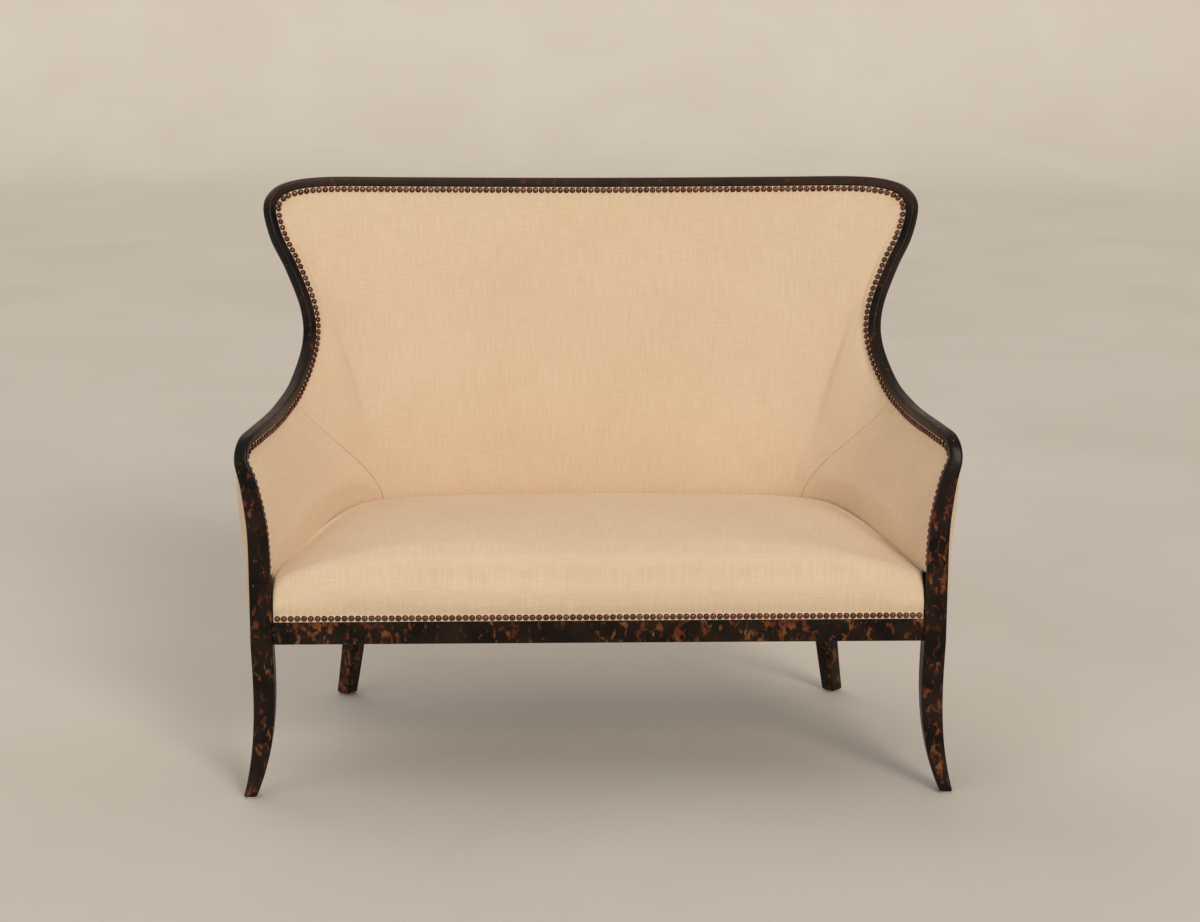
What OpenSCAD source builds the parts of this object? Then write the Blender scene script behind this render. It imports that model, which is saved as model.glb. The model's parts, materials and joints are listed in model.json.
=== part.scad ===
// Wing-back settee with a continuous show-wood frame, tight seat and nailed linen covers.
// +X runs along the seat, +Y to the back, +Z up, and the part stands on Z = 0.

/* [Show frame] */
// Width over the two front posts at the seat rail
post_span = 1240; // [1180:5:1300]
// How far each arm knuckle stands out past its post
knuckle_flare = 22; // [12:1:30]
// Width over the waist, where the arms turn up into the wings
waist_span = 1100; // [1060:5:1140]
// Width over the shoulders of the wings
shoulder_span = 1252; // [1200:5:1300]
// Height of the top of the arms
arm_height = 656; // [630:1:690]
// Height of the crest at its high points
crest_height = 1033; // [980:1:1080]
// Dip of the crest from its high points to its middle
crest_dip = 8; // [2:1:16]
// Depth from the front rail's face to the waist
waist_depth = 425; // [410:1:440]
// Depth from the front rail's face to the shoulders
shoulder_depth = 530; // [515:1:545]
// Depth from the front rail's face to the back of the crest
frame_depth = 620; // [605:1:640]

/* [Mouldings] */
// Width of the post's face at the seat rail
post_face = 39; // [35:0.5:44]
// Width of the moulding's face on arms, wings and crest
mould_face = 22; // [20:0.5:26]
// Height of the moulding's inner side above the nails
mould_side = 16; // [13:0.5:20]
// Depth of the post, from its face to its back
post_depth = 48; // [42:1:54]
// Depth of the moulding with its tongue on arms, wings and crest
mould_depth = 34; // [32:1:38]
// Depth of the rebate that takes the inside covers
rebate_in = 8; // [7:0.5:9]
// Depth of the rebate that takes the outside covers
rebate_out = 3.5; // [2.5:0.5:4]
// How far the post faces stand in front of the front rail
post_proud = 8; // [5:1:12]

/* [Legs and rails] */
// Height of the underside of the seat rails
rail_bottom = 276; // [250:1:300]
// Height of the front rail's show face
rail_face_h = 41; // [36:1:50]
// Height of the rails behind the covers
rail_h = 62; // [56:1:70]
// Thickness of the front and back rails
rail_t = 30; // [26:1:32]
// Thickness of the side rails
side_rail_t = 28; // [24:1:30]
// How far the front foot kicks forward
foot_kick = 26; // [10:1:40]
// How far the front foot kicks outward
foot_flare = 16; // [6:1:24]
// Width of the front foot
foot_w = 23; // [20:1:30]
// Thickness of the rear leg at the rail
rear_leg_top = 40; // [34:1:40]
// Thickness of the rear leg at the floor
rear_leg_foot = 30; // [24:1:32]
// How far the rear foot kicks out and back
rear_kick = 30; // [10:1:36]
// Diameter of the glides
glide_d = 18; // [14:1:20]
// Thickness of the glides
glide_h = 3; // [2:0.5:5]
// Diameter of the frame dowels
dowel_d = 10; // [8:1:10]

/* [Upholstery] */
// Height of the seat's front roll in its middle
seat_front_h = 443; // [430:1:455]
// Height of the seat line against the inside back
seat_line_h = 422; // [414:1:430]
// How far the seat rises in its middle above the line from front to back
seat_crown = 22; // [12:1:30]
// Radius of the seat's front roll
roll_r = 34; // [28:1:36]
// Thickness of the linen covers
cover_t = 1.6; // [1.2:0.1:2]
// Thickness of the back pad
back_pad_t = 24; // [18:1:30]
// Thickness of the arm pads
arm_pad_t = 13; // [9:1:16]
// How far the outside arms swell
outside_swell = 10; // [4:1:14]
// Diameter of a nail head
nail_d = 11; // [10:0.25:11.5]
// Height of a nail head
nail_h = 3.5; // [3:0.25:4]
// Distance from nail to nail
nail_pitch = 11.9; // [11.8:0.1:13]
// Number of webbing straps from front to back
strap_count = 9; // [7:1:9]
// Width of the webbing
strap_width = 50; // [44:1:55]

/* [Hidden] */

// Gap between pieces that touch on the real settee
gap = 0.3;
// Half spans and heights that the frame curve is drawn from
half_post = post_span / 2;
half_knuckle = half_post + knuckle_flare;
half_waist = waist_span / 2;
half_shoulder = shoulder_span / 2;
rail_top = rail_bottom + rail_h;
face_top = rail_bottom + rail_face_h;

// Colours
wood = [0.13, 0.09, 0.07];
inner_wood = [0.76, 0.62, 0.42];
linen = [0.85, 0.76, 0.62];
steel = [0.55, 0.56, 0.58];
webbing = [0.72, 0.6, 0.42];

function mix(a, b, k) = a + (b - a) * k;
function unit(v) = v / norm(v);
function flip_x(p) = [-p.x, p.y, p.z];
function smooth(k) = k <= 0 ? 0 : k >= 1 ? 1 : k * k * (3 - 2 * k);
function up_to_arm(k) = mix(rail_bottom, arm_height, k);
function up_to_crest(k) = mix(arm_height, crest_height, k);

// Outer front edge of the show frame: up the right post, back along the arm, up the wing, along the crest
right_path = [
    [half_post, -post_proud, rail_bottom],
    [half_post, -post_proud, up_to_arm(0.27)],
    [mix(half_post, half_knuckle, 0.06), -post_proud + 1, up_to_arm(0.54)],
    [mix(half_post, half_knuckle, 0.5), -2, up_to_arm(0.75)],
    [half_knuckle, 9, up_to_arm(0.88)],
    [mix(half_post, half_knuckle, 0.73), 0.08 * waist_depth, arm_height - 12],
    [half_post, 0.21 * waist_depth, arm_height - 3],
    [mix(half_waist, half_post, 0.73), 0.42 * waist_depth, arm_height],
    [mix(half_waist, half_post, 0.54), 0.62 * waist_depth, arm_height + 4],
    [mix(half_waist, half_post, 0.26), 0.82 * waist_depth, up_to_crest(0.07)],
    [half_waist, waist_depth, up_to_crest(0.22)],
    [mix(half_waist, half_shoulder, 0.05), mix(waist_depth, shoulder_depth, 0.33), up_to_crest(0.37)],
    [mix(half_waist, half_shoulder, 0.43), mix(waist_depth, shoulder_depth, 0.61), up_to_crest(0.56)],
    [mix(half_waist, half_shoulder, 0.82), mix(waist_depth, shoulder_depth, 0.83), up_to_crest(0.71)],
    [half_shoulder, shoulder_depth, up_to_crest(0.86)],
    [half_shoulder - 14, mix(shoulder_depth, frame_depth, 0.18), crest_height - 22],
    [half_shoulder - 48, mix(shoulder_depth, frame_depth, 0.33), crest_height - 6],
    [half_shoulder - 116, mix(shoulder_depth, frame_depth, 0.52), crest_height],
    [0.6 * half_shoulder, mix(shoulder_depth, frame_depth, 0.75), crest_height - 0.4 * crest_dip],
    [0.32 * half_shoulder, mix(shoulder_depth, frame_depth, 0.92), crest_height - 0.8 * crest_dip],
    [0, frame_depth, crest_height - crest_dip]
];
mid = len(right_path) - 1;
function path_at(i) =
    i < 0 ? 2 * right_path[0] - right_path[1] :
    i > mid ? flip_x(right_path[2 * mid - i]) : right_path[i];
function curve4(a, b, c, d, k) =
    (2 * b + (c - a) * k + (2 * a - 5 * b + 4 * c - d) * k * k
    + (3 * b - a - 3 * c + d) * k * k * k) / 2;
function path(t) =
    let (i = min(floor(t), mid))
    curve4(path_at(i - 1), path_at(i), path_at(i + 1), path_at(i + 2), t - i);
function along(t) = unit(path(t + 0.02) - path(t - 0.02));

// Turn of the frame's thickness direction in plan, and its lean with the back
lean = 8;
function turn(t) = lookup(t, [
    [0, 0], [3, 0], [5, 8], [7, 14], [9, 26], [10, 38], [11, 48], [14, 52], [15, 58], [16, 68],
    [17, 80], [18, 86], [20, 90]
]);
function inward(t) =
    let (a = along(t), raw = [-cos(turn(t)), -sin(turn(t)), sin(turn(t)) * tan(lean)])
    unit(raw - (raw * a) * a);
// Point of the frame: b inward over its face, n deep from its face; past the middle it is mirrored
function frame_pt(t, b, n) =
    t > mid ? flip_x(frame_pt(2 * mid - t, b, n)) :
    let (a = along(t), w = inward(t))
    path(t) + b * w - n * cross(a, w);
function inward_at(t) = t > mid ? flip_x(inward(2 * mid - t)) : inward(t);
function depth_dir(t) =
    t > mid ? flip_x(depth_dir(2 * mid - t)) : -cross(along(t), inward(t));
function half_t(t) = t > mid ? 2 * mid - t : t;
function face_w(t) = lookup(half_t(t), [
    [0, post_face], [1, post_face], [2, mix(mould_face, post_face, 0.85)],
    [3, mix(mould_face, post_face, 0.5)], [4, mix(mould_face, post_face, 0.1)], [5, mould_face]
]);

// Places along the path: joints of the frame, ends of the nail rows and seams of the covers
t_rebate = (rail_top + 4 - rail_bottom) / (up_to_arm(0.27) - rail_bottom);
t_arm_joint = 5.6;
t_wing_joint = 10.2;
t_crest_joint = 16.6;
t_seat_line = 1.15;
t_seam = 8.7;
t_outside_seam = 10;

// Section of the frame, twelve points: plain on the leg, rebated both sides above the rail
function plain_section(w, d) = [
    [0, 3], [3, 0], [w / 2, -0.8], [w - 3, 0], [w, 3], [w, d / 2], [w, d - 3], [w - 3, d],
    [w / 2, d], [3, d], [0, d - 3], [0, d / 2]
];
draft = 2;
function rebated_section(w, d) = [
    [0, 3], [3, 0], [w / 2, -0.8], [w - 3, 0], [w, 3], [w, mould_side],
    [w - rebate_in, mould_side], [w - rebate_in - draft, d], [mix(rebate_out, w - rebate_in, 0.5), d],
    [rebate_out + draft, d], [rebate_out, mould_side - 2], [0, mould_side - 2]
];
function section(t) =
    let (k_in = smooth((half_t(t) - t_rebate) / 0.25), k_out = smooth(half_t(t) / 0.15),
        w = face_w(t), d = lookup(half_t(t), [[2, post_depth], [5, mould_depth]]),
        a = plain_section(w, d), c = rebated_section(w, d))
    [for (i = [0 : len(a) - 1]) mix(a[i], c[i], i > 8 ? k_out : k_in)];
function ring(t) = [for (q = section(t)) frame_pt(t, q[0], q[1])];
function steps(t0, t1, per) =
    let (n = max(1, ceil((t1 - t0) * per))) [for (i = [0 : n]) mix(t0, t1, i / n)];

// Front leg below the rail: k is 0 at the rail and 1 at the floor
function leg_ring(k) =
    let (x = half_post - 12 * k + (foot_flare + 12) * pow(k, 3),
        y = -post_proud - foot_kick * pow(k, 2.5),
        z = mix(rail_bottom, glide_h, k),
        w = mix(post_face, foot_w, pow(k, 3)),
        d = mix(post_depth, foot_w + 3, pow(k, 1.6)))
    [for (q = plain_section(w, d)) [x - q[0], y + q[1], z]];

// Middle of the whole depth, from the toes to the back of the crest
y_mid = (min([for (p = leg_ring(1)) p.y]) + max([for (p = ring(mid)) p.y])) / 2;

// Closed skin through rings of points, with a flat cap at each end
// A cap starts at its third point, from which the whole of a rebated outline can be seen
module through_rings(rings) {
    m = len(rings[0]);
    last = len(rings) - 1;
    polyhedron(
        points = [for (r = rings) each r],
        faces = [
            for (j = [0 : last - 1], i = [0 : m - 1])
                each [
                    [j * m + i, j * m + (i + 1) % m, (j + 1) * m + (i + 1) % m],
                    [j * m + i, (j + 1) * m + (i + 1) % m, (j + 1) * m + i]
                ],
            [for (i = [0 : m - 1]) last * m + (i + 2) % m],
            [for (i = [m : -1 : 1]) (i + 2) % m]
        ],
        convexity = 6
    );
}
// Solid between two sheets of points of the same count: a is the side seen, c the hidden one
// Past the middle of a sheet that spans both sides its squares are split the other way
module between_sheets(a, c, both = false) {
    nu = len(a);
    nv = len(a[0]);
    far = nu * nv;
    polyhedron(
        points = [for (r = a) each r, for (r = c) each r],
        faces = [
            for (i = [0 : nu - 2], j = [0 : nv - 2])
                let (p = i * nv + j, q = p + nv)
                each both && 2 * i > nu - 2 ? [
                    [p, p + 1, q], [p + 1, q + 1, q],
                    [far + p, far + q, far + p + 1], [far + p + 1, far + q, far + q + 1]
                ] : [
                    [p, q + 1, q], [p, p + 1, q + 1],
                    [far + p, far + q, far + q + 1], [far + p, far + q + 1, far + p + 1]
                ],
            for (i = [0 : nu - 2])
                let (p = i * nv, q = p + nv, e = nv - 1)
                each [
                    [p, q, far + q], [p, far + q, far + p],
                    [p + e, far + q + e, q + e], [p + e, far + p + e, far + q + e]
                ],
            for (j = [0 : nv - 2])
                let (e = (nu - 1) * nv)
                each [
                    [j, far + j + 1, j + 1], [j, far + j, far + j + 1],
                    [e + j, e + j + 1, far + e + j + 1], [e + j, far + e + j + 1, far + e + j]
                ]
        ],
        convexity = 8
    );
}
// Bar between four corners below and four above
module post_between(low, high) {
    polyhedron(
        points = [each low, each high],
        faces = [
            [0, 1, 2, 3], [7, 6, 5, 4],
            [0, 4, 5], [0, 5, 1], [1, 5, 6], [1, 6, 2], [2, 6, 7], [2, 7, 3], [3, 7, 4], [3, 4, 0]
        ]
    );
}
// Rod from a point along a direction
module rod(p, dir, len, d, fn = 24) {
    translate(p)
        rotate([0, acos(dir.z / norm(dir)), atan2(dir.y, dir.x)])
        cylinder(h = len, d = d, $fn = fn);
}
module placed() {
    translate([0, -y_mid, 0]) children();
}
module on_side(side) {
    mirror([side == "left" ? 1 : 0, 0, 0]) children();
}

// Outside plan of the seat rails
rear_corner_x = half_waist - 60;
back_face_y = frame_depth - 48;
back_in_y = back_face_y - rail_t;
post_back_y = -post_proud + post_depth;
side_start_x = half_post - rebate_out;
function side_out(y) =
    mix(side_start_x, rear_corner_x, (y - post_back_y) / (back_in_y - post_back_y));
side_slant = atan((side_start_x - rear_corner_x) / (back_in_y - post_back_y));
function side_in(y) = side_out(y) - side_rail_t / cos(side_slant);
leg_x = rear_corner_x - 35;
leg_y = back_face_y - 28;
corner_cut = 20;

// Line on the seat where it meets the inside arms and back, from the right post to the middle
seat_line = [
    [half_post - post_face - 1, post_back_y + 6, seat_line_h - 30],
    [0.85 * half_post, 0.4 * waist_depth, seat_line_h - 4],
    [0.755 * half_post, 0.824 * waist_depth, seat_line_h + 6],
    [0.645 * half_post, mix(waist_depth, frame_depth, 0.026), seat_line_h + 6],
    [0.457 * half_post, mix(waist_depth, frame_depth, 0.251), seat_line_h + 3],
    [0.226 * half_post, mix(waist_depth, frame_depth, 0.374), seat_line_h],
    [0, mix(waist_depth, frame_depth, 0.415), seat_line_h]
];
line_end = len(seat_line) - 1;
function line_at(i) =
    i < 0 ? 2 * seat_line[0] - seat_line[1] :
    i > line_end ? flip_x(seat_line[2 * line_end - i]) : seat_line[i];
function line_pt(s) =
    s > line_end ? flip_x(line_pt(2 * line_end - s)) :
    let (i = min(floor(s), line_end))
    curve4(line_at(i - 1), line_at(i), line_at(i + 1), line_at(i + 2), s - i);
// Level direction away from the inside covers, towards the sitter
function line_out(s) =
    s > line_end ? flip_x(line_out(2 * line_end - s)) :
    let (d = line_pt(s + 0.02) - line_pt(s - 0.02)) unit([-d.y, d.x, 0]);

// Place on the seat line that each place of the frame is joined to by the inside covers
arm_table = [
    [t_seat_line, 0], [2, 0.15], [3, 0.35], [4, 0.52], [5, 0.65], [6, 0.85], [7, 1.3], [8, 1.95],
    [t_seam, 3]
];
back_table = [
    [t_seam, 3], [10, 3.06], [12, 3.14], [13, 3.22], [14, 3.32], [15, 3.43], [16, 3.55], [17, 3.74],
    [18, 4.15], [19, 4.95], [20, 6]
];
function arm_line(t) = lookup(t, arm_table);
function back_line(t) = t > mid ? 2 * line_end - back_line(2 * mid - t) : lookup(t, back_table);
function turned(table) = [for (p = table) [p[1], p[0]]];
// Places on the seat line that the columns of seat, arms and back share, so that their edges agree
arm_stations = [1.3, 1.8, 2.2, 2.6];
back_stations = [3.3, 3.6, 4, 4.5, 5.2, line_end];
function curl(a, da, c, dc, k) =
    (2 * pow(k, 3) - 3 * k * k + 1) * a + (pow(k, 3) - 2 * k * k + k) * da
    + (3 * k * k - 2 * pow(k, 3)) * c + (pow(k, 3) - k * k) * dc;

// Layers over the inside of the frame, from the frame out: hessian, pad, cover
hessian_t = 1;
pad_edge = 1.5;
// Gap between the moulding's shoulders and the edges of the covers
edge_gap = 1.2;
function pad_at(full, k) = mix(pad_edge, full, 1 - pow(1 - k, 3));
// Width of the flat strip of cover beside the moulding that carries the nails
strip_w = nail_d + 1.5;
function pad_full(t) =
    lookup(half_t(t), [[1, 3], [3, 6], [5, arm_pad_t], [8, arm_pad_t], [10, back_pad_t]]);
layer_gap = 0.3;
function hessian_out() = 0.2 + hessian_t;
function pad_in() = hessian_out() + layer_gap;
function cover_in(t, k) = pad_in() + pad_at(pad_full(t), k) + layer_gap;
function cover_out(t, k) = cover_in(t, k) + cover_t;
// Column of the inside surface: a flat strip under the nails, then down to the seat line; lift is its height
function inside_column(t, s, n, lift) =
    let (
        top = frame_pt(t, face_w(t) - rebate_in, mould_side + edge_gap),
        ledge = top + strip_w * depth_dir(t),
        foot = line_pt(s) - cover_out(t, 1) * line_out(s),
        reach = norm(foot - ledge),
        near = lookup(half_t(t), [
            [1, 0.3], [5, 0.28], [6, 0.42], [8.7, 0.65], [10, 0.45], [11, 0.3], [12, 0.14], [13.8, 0.1],
            [14.6, 0.2], [15.2, 0.25], [16, 0.4], [17, 0.9], [20, 0.9]
        ]) * reach
    )
    [
        top + lift(t, 0) * inward_at(t),
        for (j = [0 : n])
            let (k = pow(j / n, 1.25))
            curl(ledge, near * depth_dir(t), foot, [0, 0, -0.7 * reach], k)
            + lift(t, k) * unit(mix(inward_at(t), line_out(s), smooth(k)))
    ];
// Skirt of the inside covers below the seat line
skirt_h = 42;
function skirt_pt(t, s, h) =
    let (foot = line_pt(s) + (h - cover_out(t, 1)) * line_out(s)) [foot.x, foot.y, foot.z - skirt_h];
function inside_sheet(ts, line, n, lift) = [
    for (t = ts)
        let (s = line(t)) [each inside_column(t, s, n, lift), skirt_pt(t, s, lift(t, 1))]
];
cover_top = function (t, k) cover_out(t, k);
cover_under = function (t, k) cover_in(t, k);
pad_top = function (t, k) cover_in(t, k) - layer_gap;
pad_under = function (t, k) pad_in();
hessian_top = function (t, k) hessian_out();
hessian_under = function (t, k) 0.2;
on_arm = function (t) arm_line(t);
on_back = function (t) back_line(t);

// Line of the outside covers at the rails, from the right post round the corner to the middle
outside_line = [
    [side_out(post_back_y), post_back_y],
    [side_out(mix(post_back_y, back_in_y, 0.5)), mix(post_back_y, back_in_y, 0.5)],
    [side_out(back_in_y - 75), back_in_y - 75],
    [side_out(back_in_y - 20), back_in_y - 20],
    [side_out(back_face_y - corner_cut), back_face_y - corner_cut],
    [rear_corner_x - corner_cut - 4, back_face_y],
    [rear_corner_x - 65, back_face_y],
    [0.5 * rear_corner_x, back_face_y],
    [0, back_face_y]
];
outside_end = len(outside_line) - 1;
function flat(p) = [p.x, p.y, 0];
function outside_at(i) =
    i < 0 ? 2 * outside_line[0] - outside_line[1] :
    i > outside_end ? [-outside_line[2 * outside_end - i].x, outside_line[2 * outside_end - i].y] :
    outside_line[i];
function outside_base(s) =
    s > outside_end ? flip_x(outside_base(2 * outside_end - s)) :
    let (i = min(floor(s), outside_end),
        p = curve4(outside_at(i - 1), outside_at(i), outside_at(i + 1), outside_at(i + 2), s - i))
    flat(p);
function outside_out(s) =
    s > outside_end ? flip_x(outside_out(2 * outside_end - s)) :
    let (d = outside_base(s + 0.02) - outside_base(s - 0.02)) unit([d.y, -d.x, 0]);
on_side_rail = function (t) lookup(t, [
    [0.2, 0], [3, 0.06], [5, 0.14], [6, 0.28], [7, 0.67], [8, 1.03], [9, 1.62], [10, 3]
]);
on_back_rail = function (t)
    t > mid ? 2 * outside_end - on_back_rail(2 * mid - t) : lookup(t, [
        [10, 3], [12, 3.6], [14, 4.3], [15, 4.6], [16, 5], [17, 5.7], [18, 6.5], [19, 7.3], [20, 8]
    ]);
// Point of the outside surface, h out from the frame: k is 0 at the moulding and 1 at the rail
function outside_pt(t, s, k, h, swell) =
    let (
        top = frame_pt(t, rebate_out, mould_side - 2 + edge_gap),
        z = mix(rail_bottom + 14, rail_top, smooth((half_t(t) - 0.2) / 1.3)),
        foot = outside_base(s) + [0, 0, z],
        reach = norm(foot - top),
        near = lookup(half_t(t), [[1, 0.3], [6, 0.5], [10, 0.5], [12, 0.3], [20, 0.25]]),
        dir = unit(mix(-inward_at(t), outside_out(s), smooth(k)))
    )
    curl(top, near * reach * depth_dir(t), foot, 0.7 * (foot - top), k)
    + (h + swell * sin(180 * k)) * dir;
function outside_hem(s, h) = outside_base(s) + h * outside_out(s) + [0, 0, rail_bottom + 1];
function outside_sheet(ts, line, n, h, swell) = [
    for (t = ts)
        let (s = line(t))
        [
            for (j = [0 : n]) outside_pt(t, s, j / n, h, swell * smooth(half_t(t) - 0.2)),
            outside_hem(s, h)
        ]
];

// Seat surface: q runs from post to post, d is the depth under the cover's face
seat_half = half_post - post_face - 1.5;
seat_face_y = 0.6;
// Webbing lies on the rails; the long straps pass over and under the cross straps
strap_t = 2;
strap_z = rail_top + 0.2;
strap_lift = strap_t + 0.2;
// The outer straps run just inside the risers of the tack rails
strap_pitch = 2 * (seat_line[3].x - strap_width / 2 - 23) / (strap_count - 1);
cross_y = [120, 230, 340];
hessian_z = strap_z + strap_lift + strap_t + gap;
foam_floor = hessian_z + hessian_t + gap;
seat_hem = face_top + 1;
band_h = 13;
seat_places = [
    [0, 6], [0.25, 5], [0.5, 4.1], [0.7, 3.35], [0.8, 3], [0.87, 2.4], [0.93, 1.5], [0.97, 0.8], [1, 0]
];
function seat_line_place(q) =
    let (s = lookup(abs(q), seat_places)) q < 0 ? 2 * line_end - s : s;
// Front of the seat swells out above the band of nails, as heights and distances
function seat_front(wall) =
    let (zb = seat_hem + band_h)
    [[zb, 0], [mix(zb, wall, 1 / 3), seat_swell], [mix(zb, wall, 2 / 3), seat_swell], [wall, 0]];
seat_swell = 4.5;
function seat_column(q, d, z0) =
    let (
        s = seat_line_place(q),
        x = q * (seat_half - d),
        tucked = line_pt(s) + (1.8 + d) * line_out(s),
        edge = abs(q) < 1 ? tucked : [x, tucked.y, tucked.z],
        zf = mix(seat_front_h, seat_line[0].z + 4, pow(abs(q), 6)),
        y = seat_face_y + d,
        r = roll_r - d,
        top_y = seat_face_y + roll_r,
        wall = zf - roll_r,
        front = seat_front(wall),
        crown = seat_crown * (1 - pow(abs(q), 4))
    )
    [
        for (z = [z0, for (i = [0 : 3]) if (i > 0 || z0 < front[0][0]) max(front[i][0], z0 + i)])
            [x, y - lookup(z, front), z],
        for (a = [22.5 : 22.5 : 90]) [x, top_y - r * cos(a), wall + r * sin(a)],
        for (v = [1 / 6 : 1 / 6 : 0.99])
            [mix(x, edge.x, v), mix(top_y, edge.y, v), mix(zf, edge.z, v) - d + crown * 4 * v * (1 - v)],
        [edge.x, edge.y, edge.z - d],
        [edge.x, edge.y, foam_floor + 2]
    ];
seat_half_columns = [
    1, for (s = [0.65, each arm_stations, 3, each back_stations]) lookup(s, [
        for (i = [len(seat_places) - 1 : -1 : 0]) [seat_places[i][1], seat_places[i][0]]
    ])
];
seat_columns = [
    each seat_half_columns,
    for (i = [len(seat_half_columns) - 2 : -1 : 0]) -seat_half_columns[i]
];

module nail_head(p, dir) {
    r = (nail_d * nail_d / 4 + nail_h * nail_h) / (2 * nail_h);
    translate(p)
        rotate([0, acos(dir.z / norm(dir)), atan2(dir.y, dir.x)])
        translate([0, 0, nail_h - r])
        difference() {
            sphere(r, $fn = 32);
            translate([0, 0, -nail_h]) cube(2 * r, center = true);
        }
}
// Dowels of the show frame: one in the head and a thinner, shorter one in the tongue of each joint
function frame_dowels_at(t) = [
    [frame_pt(t, mould_face / 2, 8.5), 8, 14],
    [frame_pt(t, mix(rebate_out, mould_face - rebate_in, 0.52), mix(mould_side, mould_depth, 0.45)), 5, 8]
];
dowel_len = 50;
module frame_joint_rods(t, extra) {
    for (d = frame_dowels_at(t))
        rod(d[0] - (d[2] + extra) * along(t), along(t), 2 * (d[2] + extra), d[1] + 0.4 * extra);
}
// Dowels of the rails into the posts and rear legs, given as a point, a direction and a length
rail_dowels = [
    [[half_post - post_face - gap / 2 - dowel_len / 2, rail_t / 2 + 2, rail_bottom + 12], [1, 0, 0]],
    [[half_post - post_face - gap / 2 - dowel_len / 2, rail_t / 2 + 2, rail_bottom + 34], [1, 0, 0]],
    [[side_out(post_back_y) - side_rail_t / 2, post_back_y - dowel_len / 2, rail_bottom + 23], [0, 1, 0]],
    [[side_out(post_back_y) - side_rail_t / 2, post_back_y - dowel_len / 2, rail_bottom + 50], [0, 1, 0]],
    [[leg_x + 30, leg_y - 51, rail_bottom + 12], [-sin(20), cos(20), 0]],
    [[leg_x + 30, leg_y - 51, rail_bottom + 38], [-sin(20), cos(20), 0]],
    [[leg_x - 60, leg_y + 10, rail_bottom + 25], [1, 0, 0]],
    [[leg_x - 60, leg_y + 10, rail_bottom + 51], [1, 0, 0]]
];
module rail_rods(extra) {
    for (d = rail_dowels)
        rod(d[0] - extra * d[1], d[1], dowel_len + 2 * extra, dowel_d + 0.4 * extra);
}
bore = 0.5;

module front_leg_post(side) {
    color(wood) placed() on_side(side) difference() {
        through_rings([
            for (k = [1 : -1 / 9 : 1 / 18]) leg_ring(k),
            for (t = [0, 0.15, each steps(1 / 3, t_arm_joint, 3)]) ring(t)
        ]);
        rail_rods(bore);
        frame_joint_rods(t_arm_joint, bore);
    }
}
module left_front_leg_post() { front_leg_post("left"); }
module right_front_leg_post() { front_leg_post("right"); }

module arm_rail(side) {
    color(wood) placed() on_side(side) difference() {
        through_rings([for (t = steps(t_arm_joint, t_wing_joint, 3)) ring(t)]);
        frame_joint_rods(t_arm_joint, bore);
        frame_joint_rods(t_wing_joint, bore);
    }
}
module left_arm_rail() { arm_rail("left"); }
module right_arm_rail() { arm_rail("right"); }

module wing_rail(side) {
    color(wood) placed() on_side(side) difference() {
        through_rings([for (t = steps(t_wing_joint, t_crest_joint, 3)) ring(t)]);
        frame_joint_rods(t_wing_joint, bore);
        frame_joint_rods(t_crest_joint, bore);
    }
}
module left_wing_rail() { wing_rail("left"); }
module right_wing_rail() { wing_rail("right"); }

module crest_rail() {
    color(wood) placed() difference() {
        through_rings([for (t = steps(t_crest_joint, 2 * mid - t_crest_joint, 3)) ring(t)]);
        for (side = ["left", "right"]) on_side(side) frame_joint_rods(t_crest_joint, bore);
    }
}

module front_seat_rail() {
    span = 2 * (half_post - post_face - gap / 2);
    lip = 2.6;
    color(wood) placed() difference() {
        union() {
            translate([-span / 2, 0, rail_bottom]) cube([span, rail_t + 2, rail_face_h]);
            translate([-span / 2, lip, rail_bottom]) cube([span, rail_t + 2 - lip, rail_h]);
        }
        for (side = ["left", "right"]) on_side(side) {
            rail_rods(bore);
            block_screw_holes();
        }
    }
}

// Rear leg in plan, a square set diagonally with its edges taken off
function leg_plan(size) =
    let (r = size / sqrt(2), c = 3)
    [[r - c, -c], [r - c, c], [c, r - c], [-c, r - c], [c - r, c], [c - r, -c], [-c, c - r], [c, c - r]];
function rear_leg_ring(k) =
    let (kick = rear_kick * pow(k, 1.4), z = mix(rail_bottom, glide_h, k))
    [for (q = leg_plan(mix(rear_leg_top, rear_leg_foot, pow(k, 0.9))))
        [leg_x + kick + q.x, leg_y + kick + q.y, z]];
module rear_leg_top_in_rails(grow) {
    translate([leg_x, leg_y, rail_bottom - grow])
        linear_extrude(rail_h + 2 * grow)
        polygon(leg_plan(rear_leg_top + 2 * grow));
}
module rear_leg(side) {
    color(wood) placed() on_side(side) difference() {
        through_rings([
            [for (q = leg_plan(rear_leg_top)) [leg_x + q.x, leg_y + q.y, rail_top]],
            for (k = [0 : 0.125 : 1]) rear_leg_ring(k)
        ]);
        rail_rods(bore);
    }
}
module left_rear_leg() { rear_leg("left"); }
module right_rear_leg() { rear_leg("right"); }

module side_rail(side) {
    y0 = post_back_y + gap / 2;
    y1 = back_in_y - gap / 2;
    color(inner_wood) placed() on_side(side) difference() {
        translate([0, 0, rail_bottom])
            linear_extrude(rail_h)
            polygon([[side_out(y0), y0], [side_out(y1), y1], [side_in(y1), y1], [side_in(y0), y0]]);
        rail_rods(bore);
        block_screw_holes();
        rear_leg_top_in_rails(gap);
    }
}
module left_side_rail() { side_rail("left"); }
module right_side_rail() { side_rail("right"); }

module back_seat_rail() {
    color(inner_wood) placed() difference() {
        translate([-leg_x, back_in_y, rail_bottom]) cube([2 * leg_x, rail_t, rail_h]);
        for (side = ["left", "right"]) on_side(side) {
            rail_rods(bore);
            block_screw_holes();
            rear_leg_top_in_rails(gap);
        }
    }
}

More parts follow.
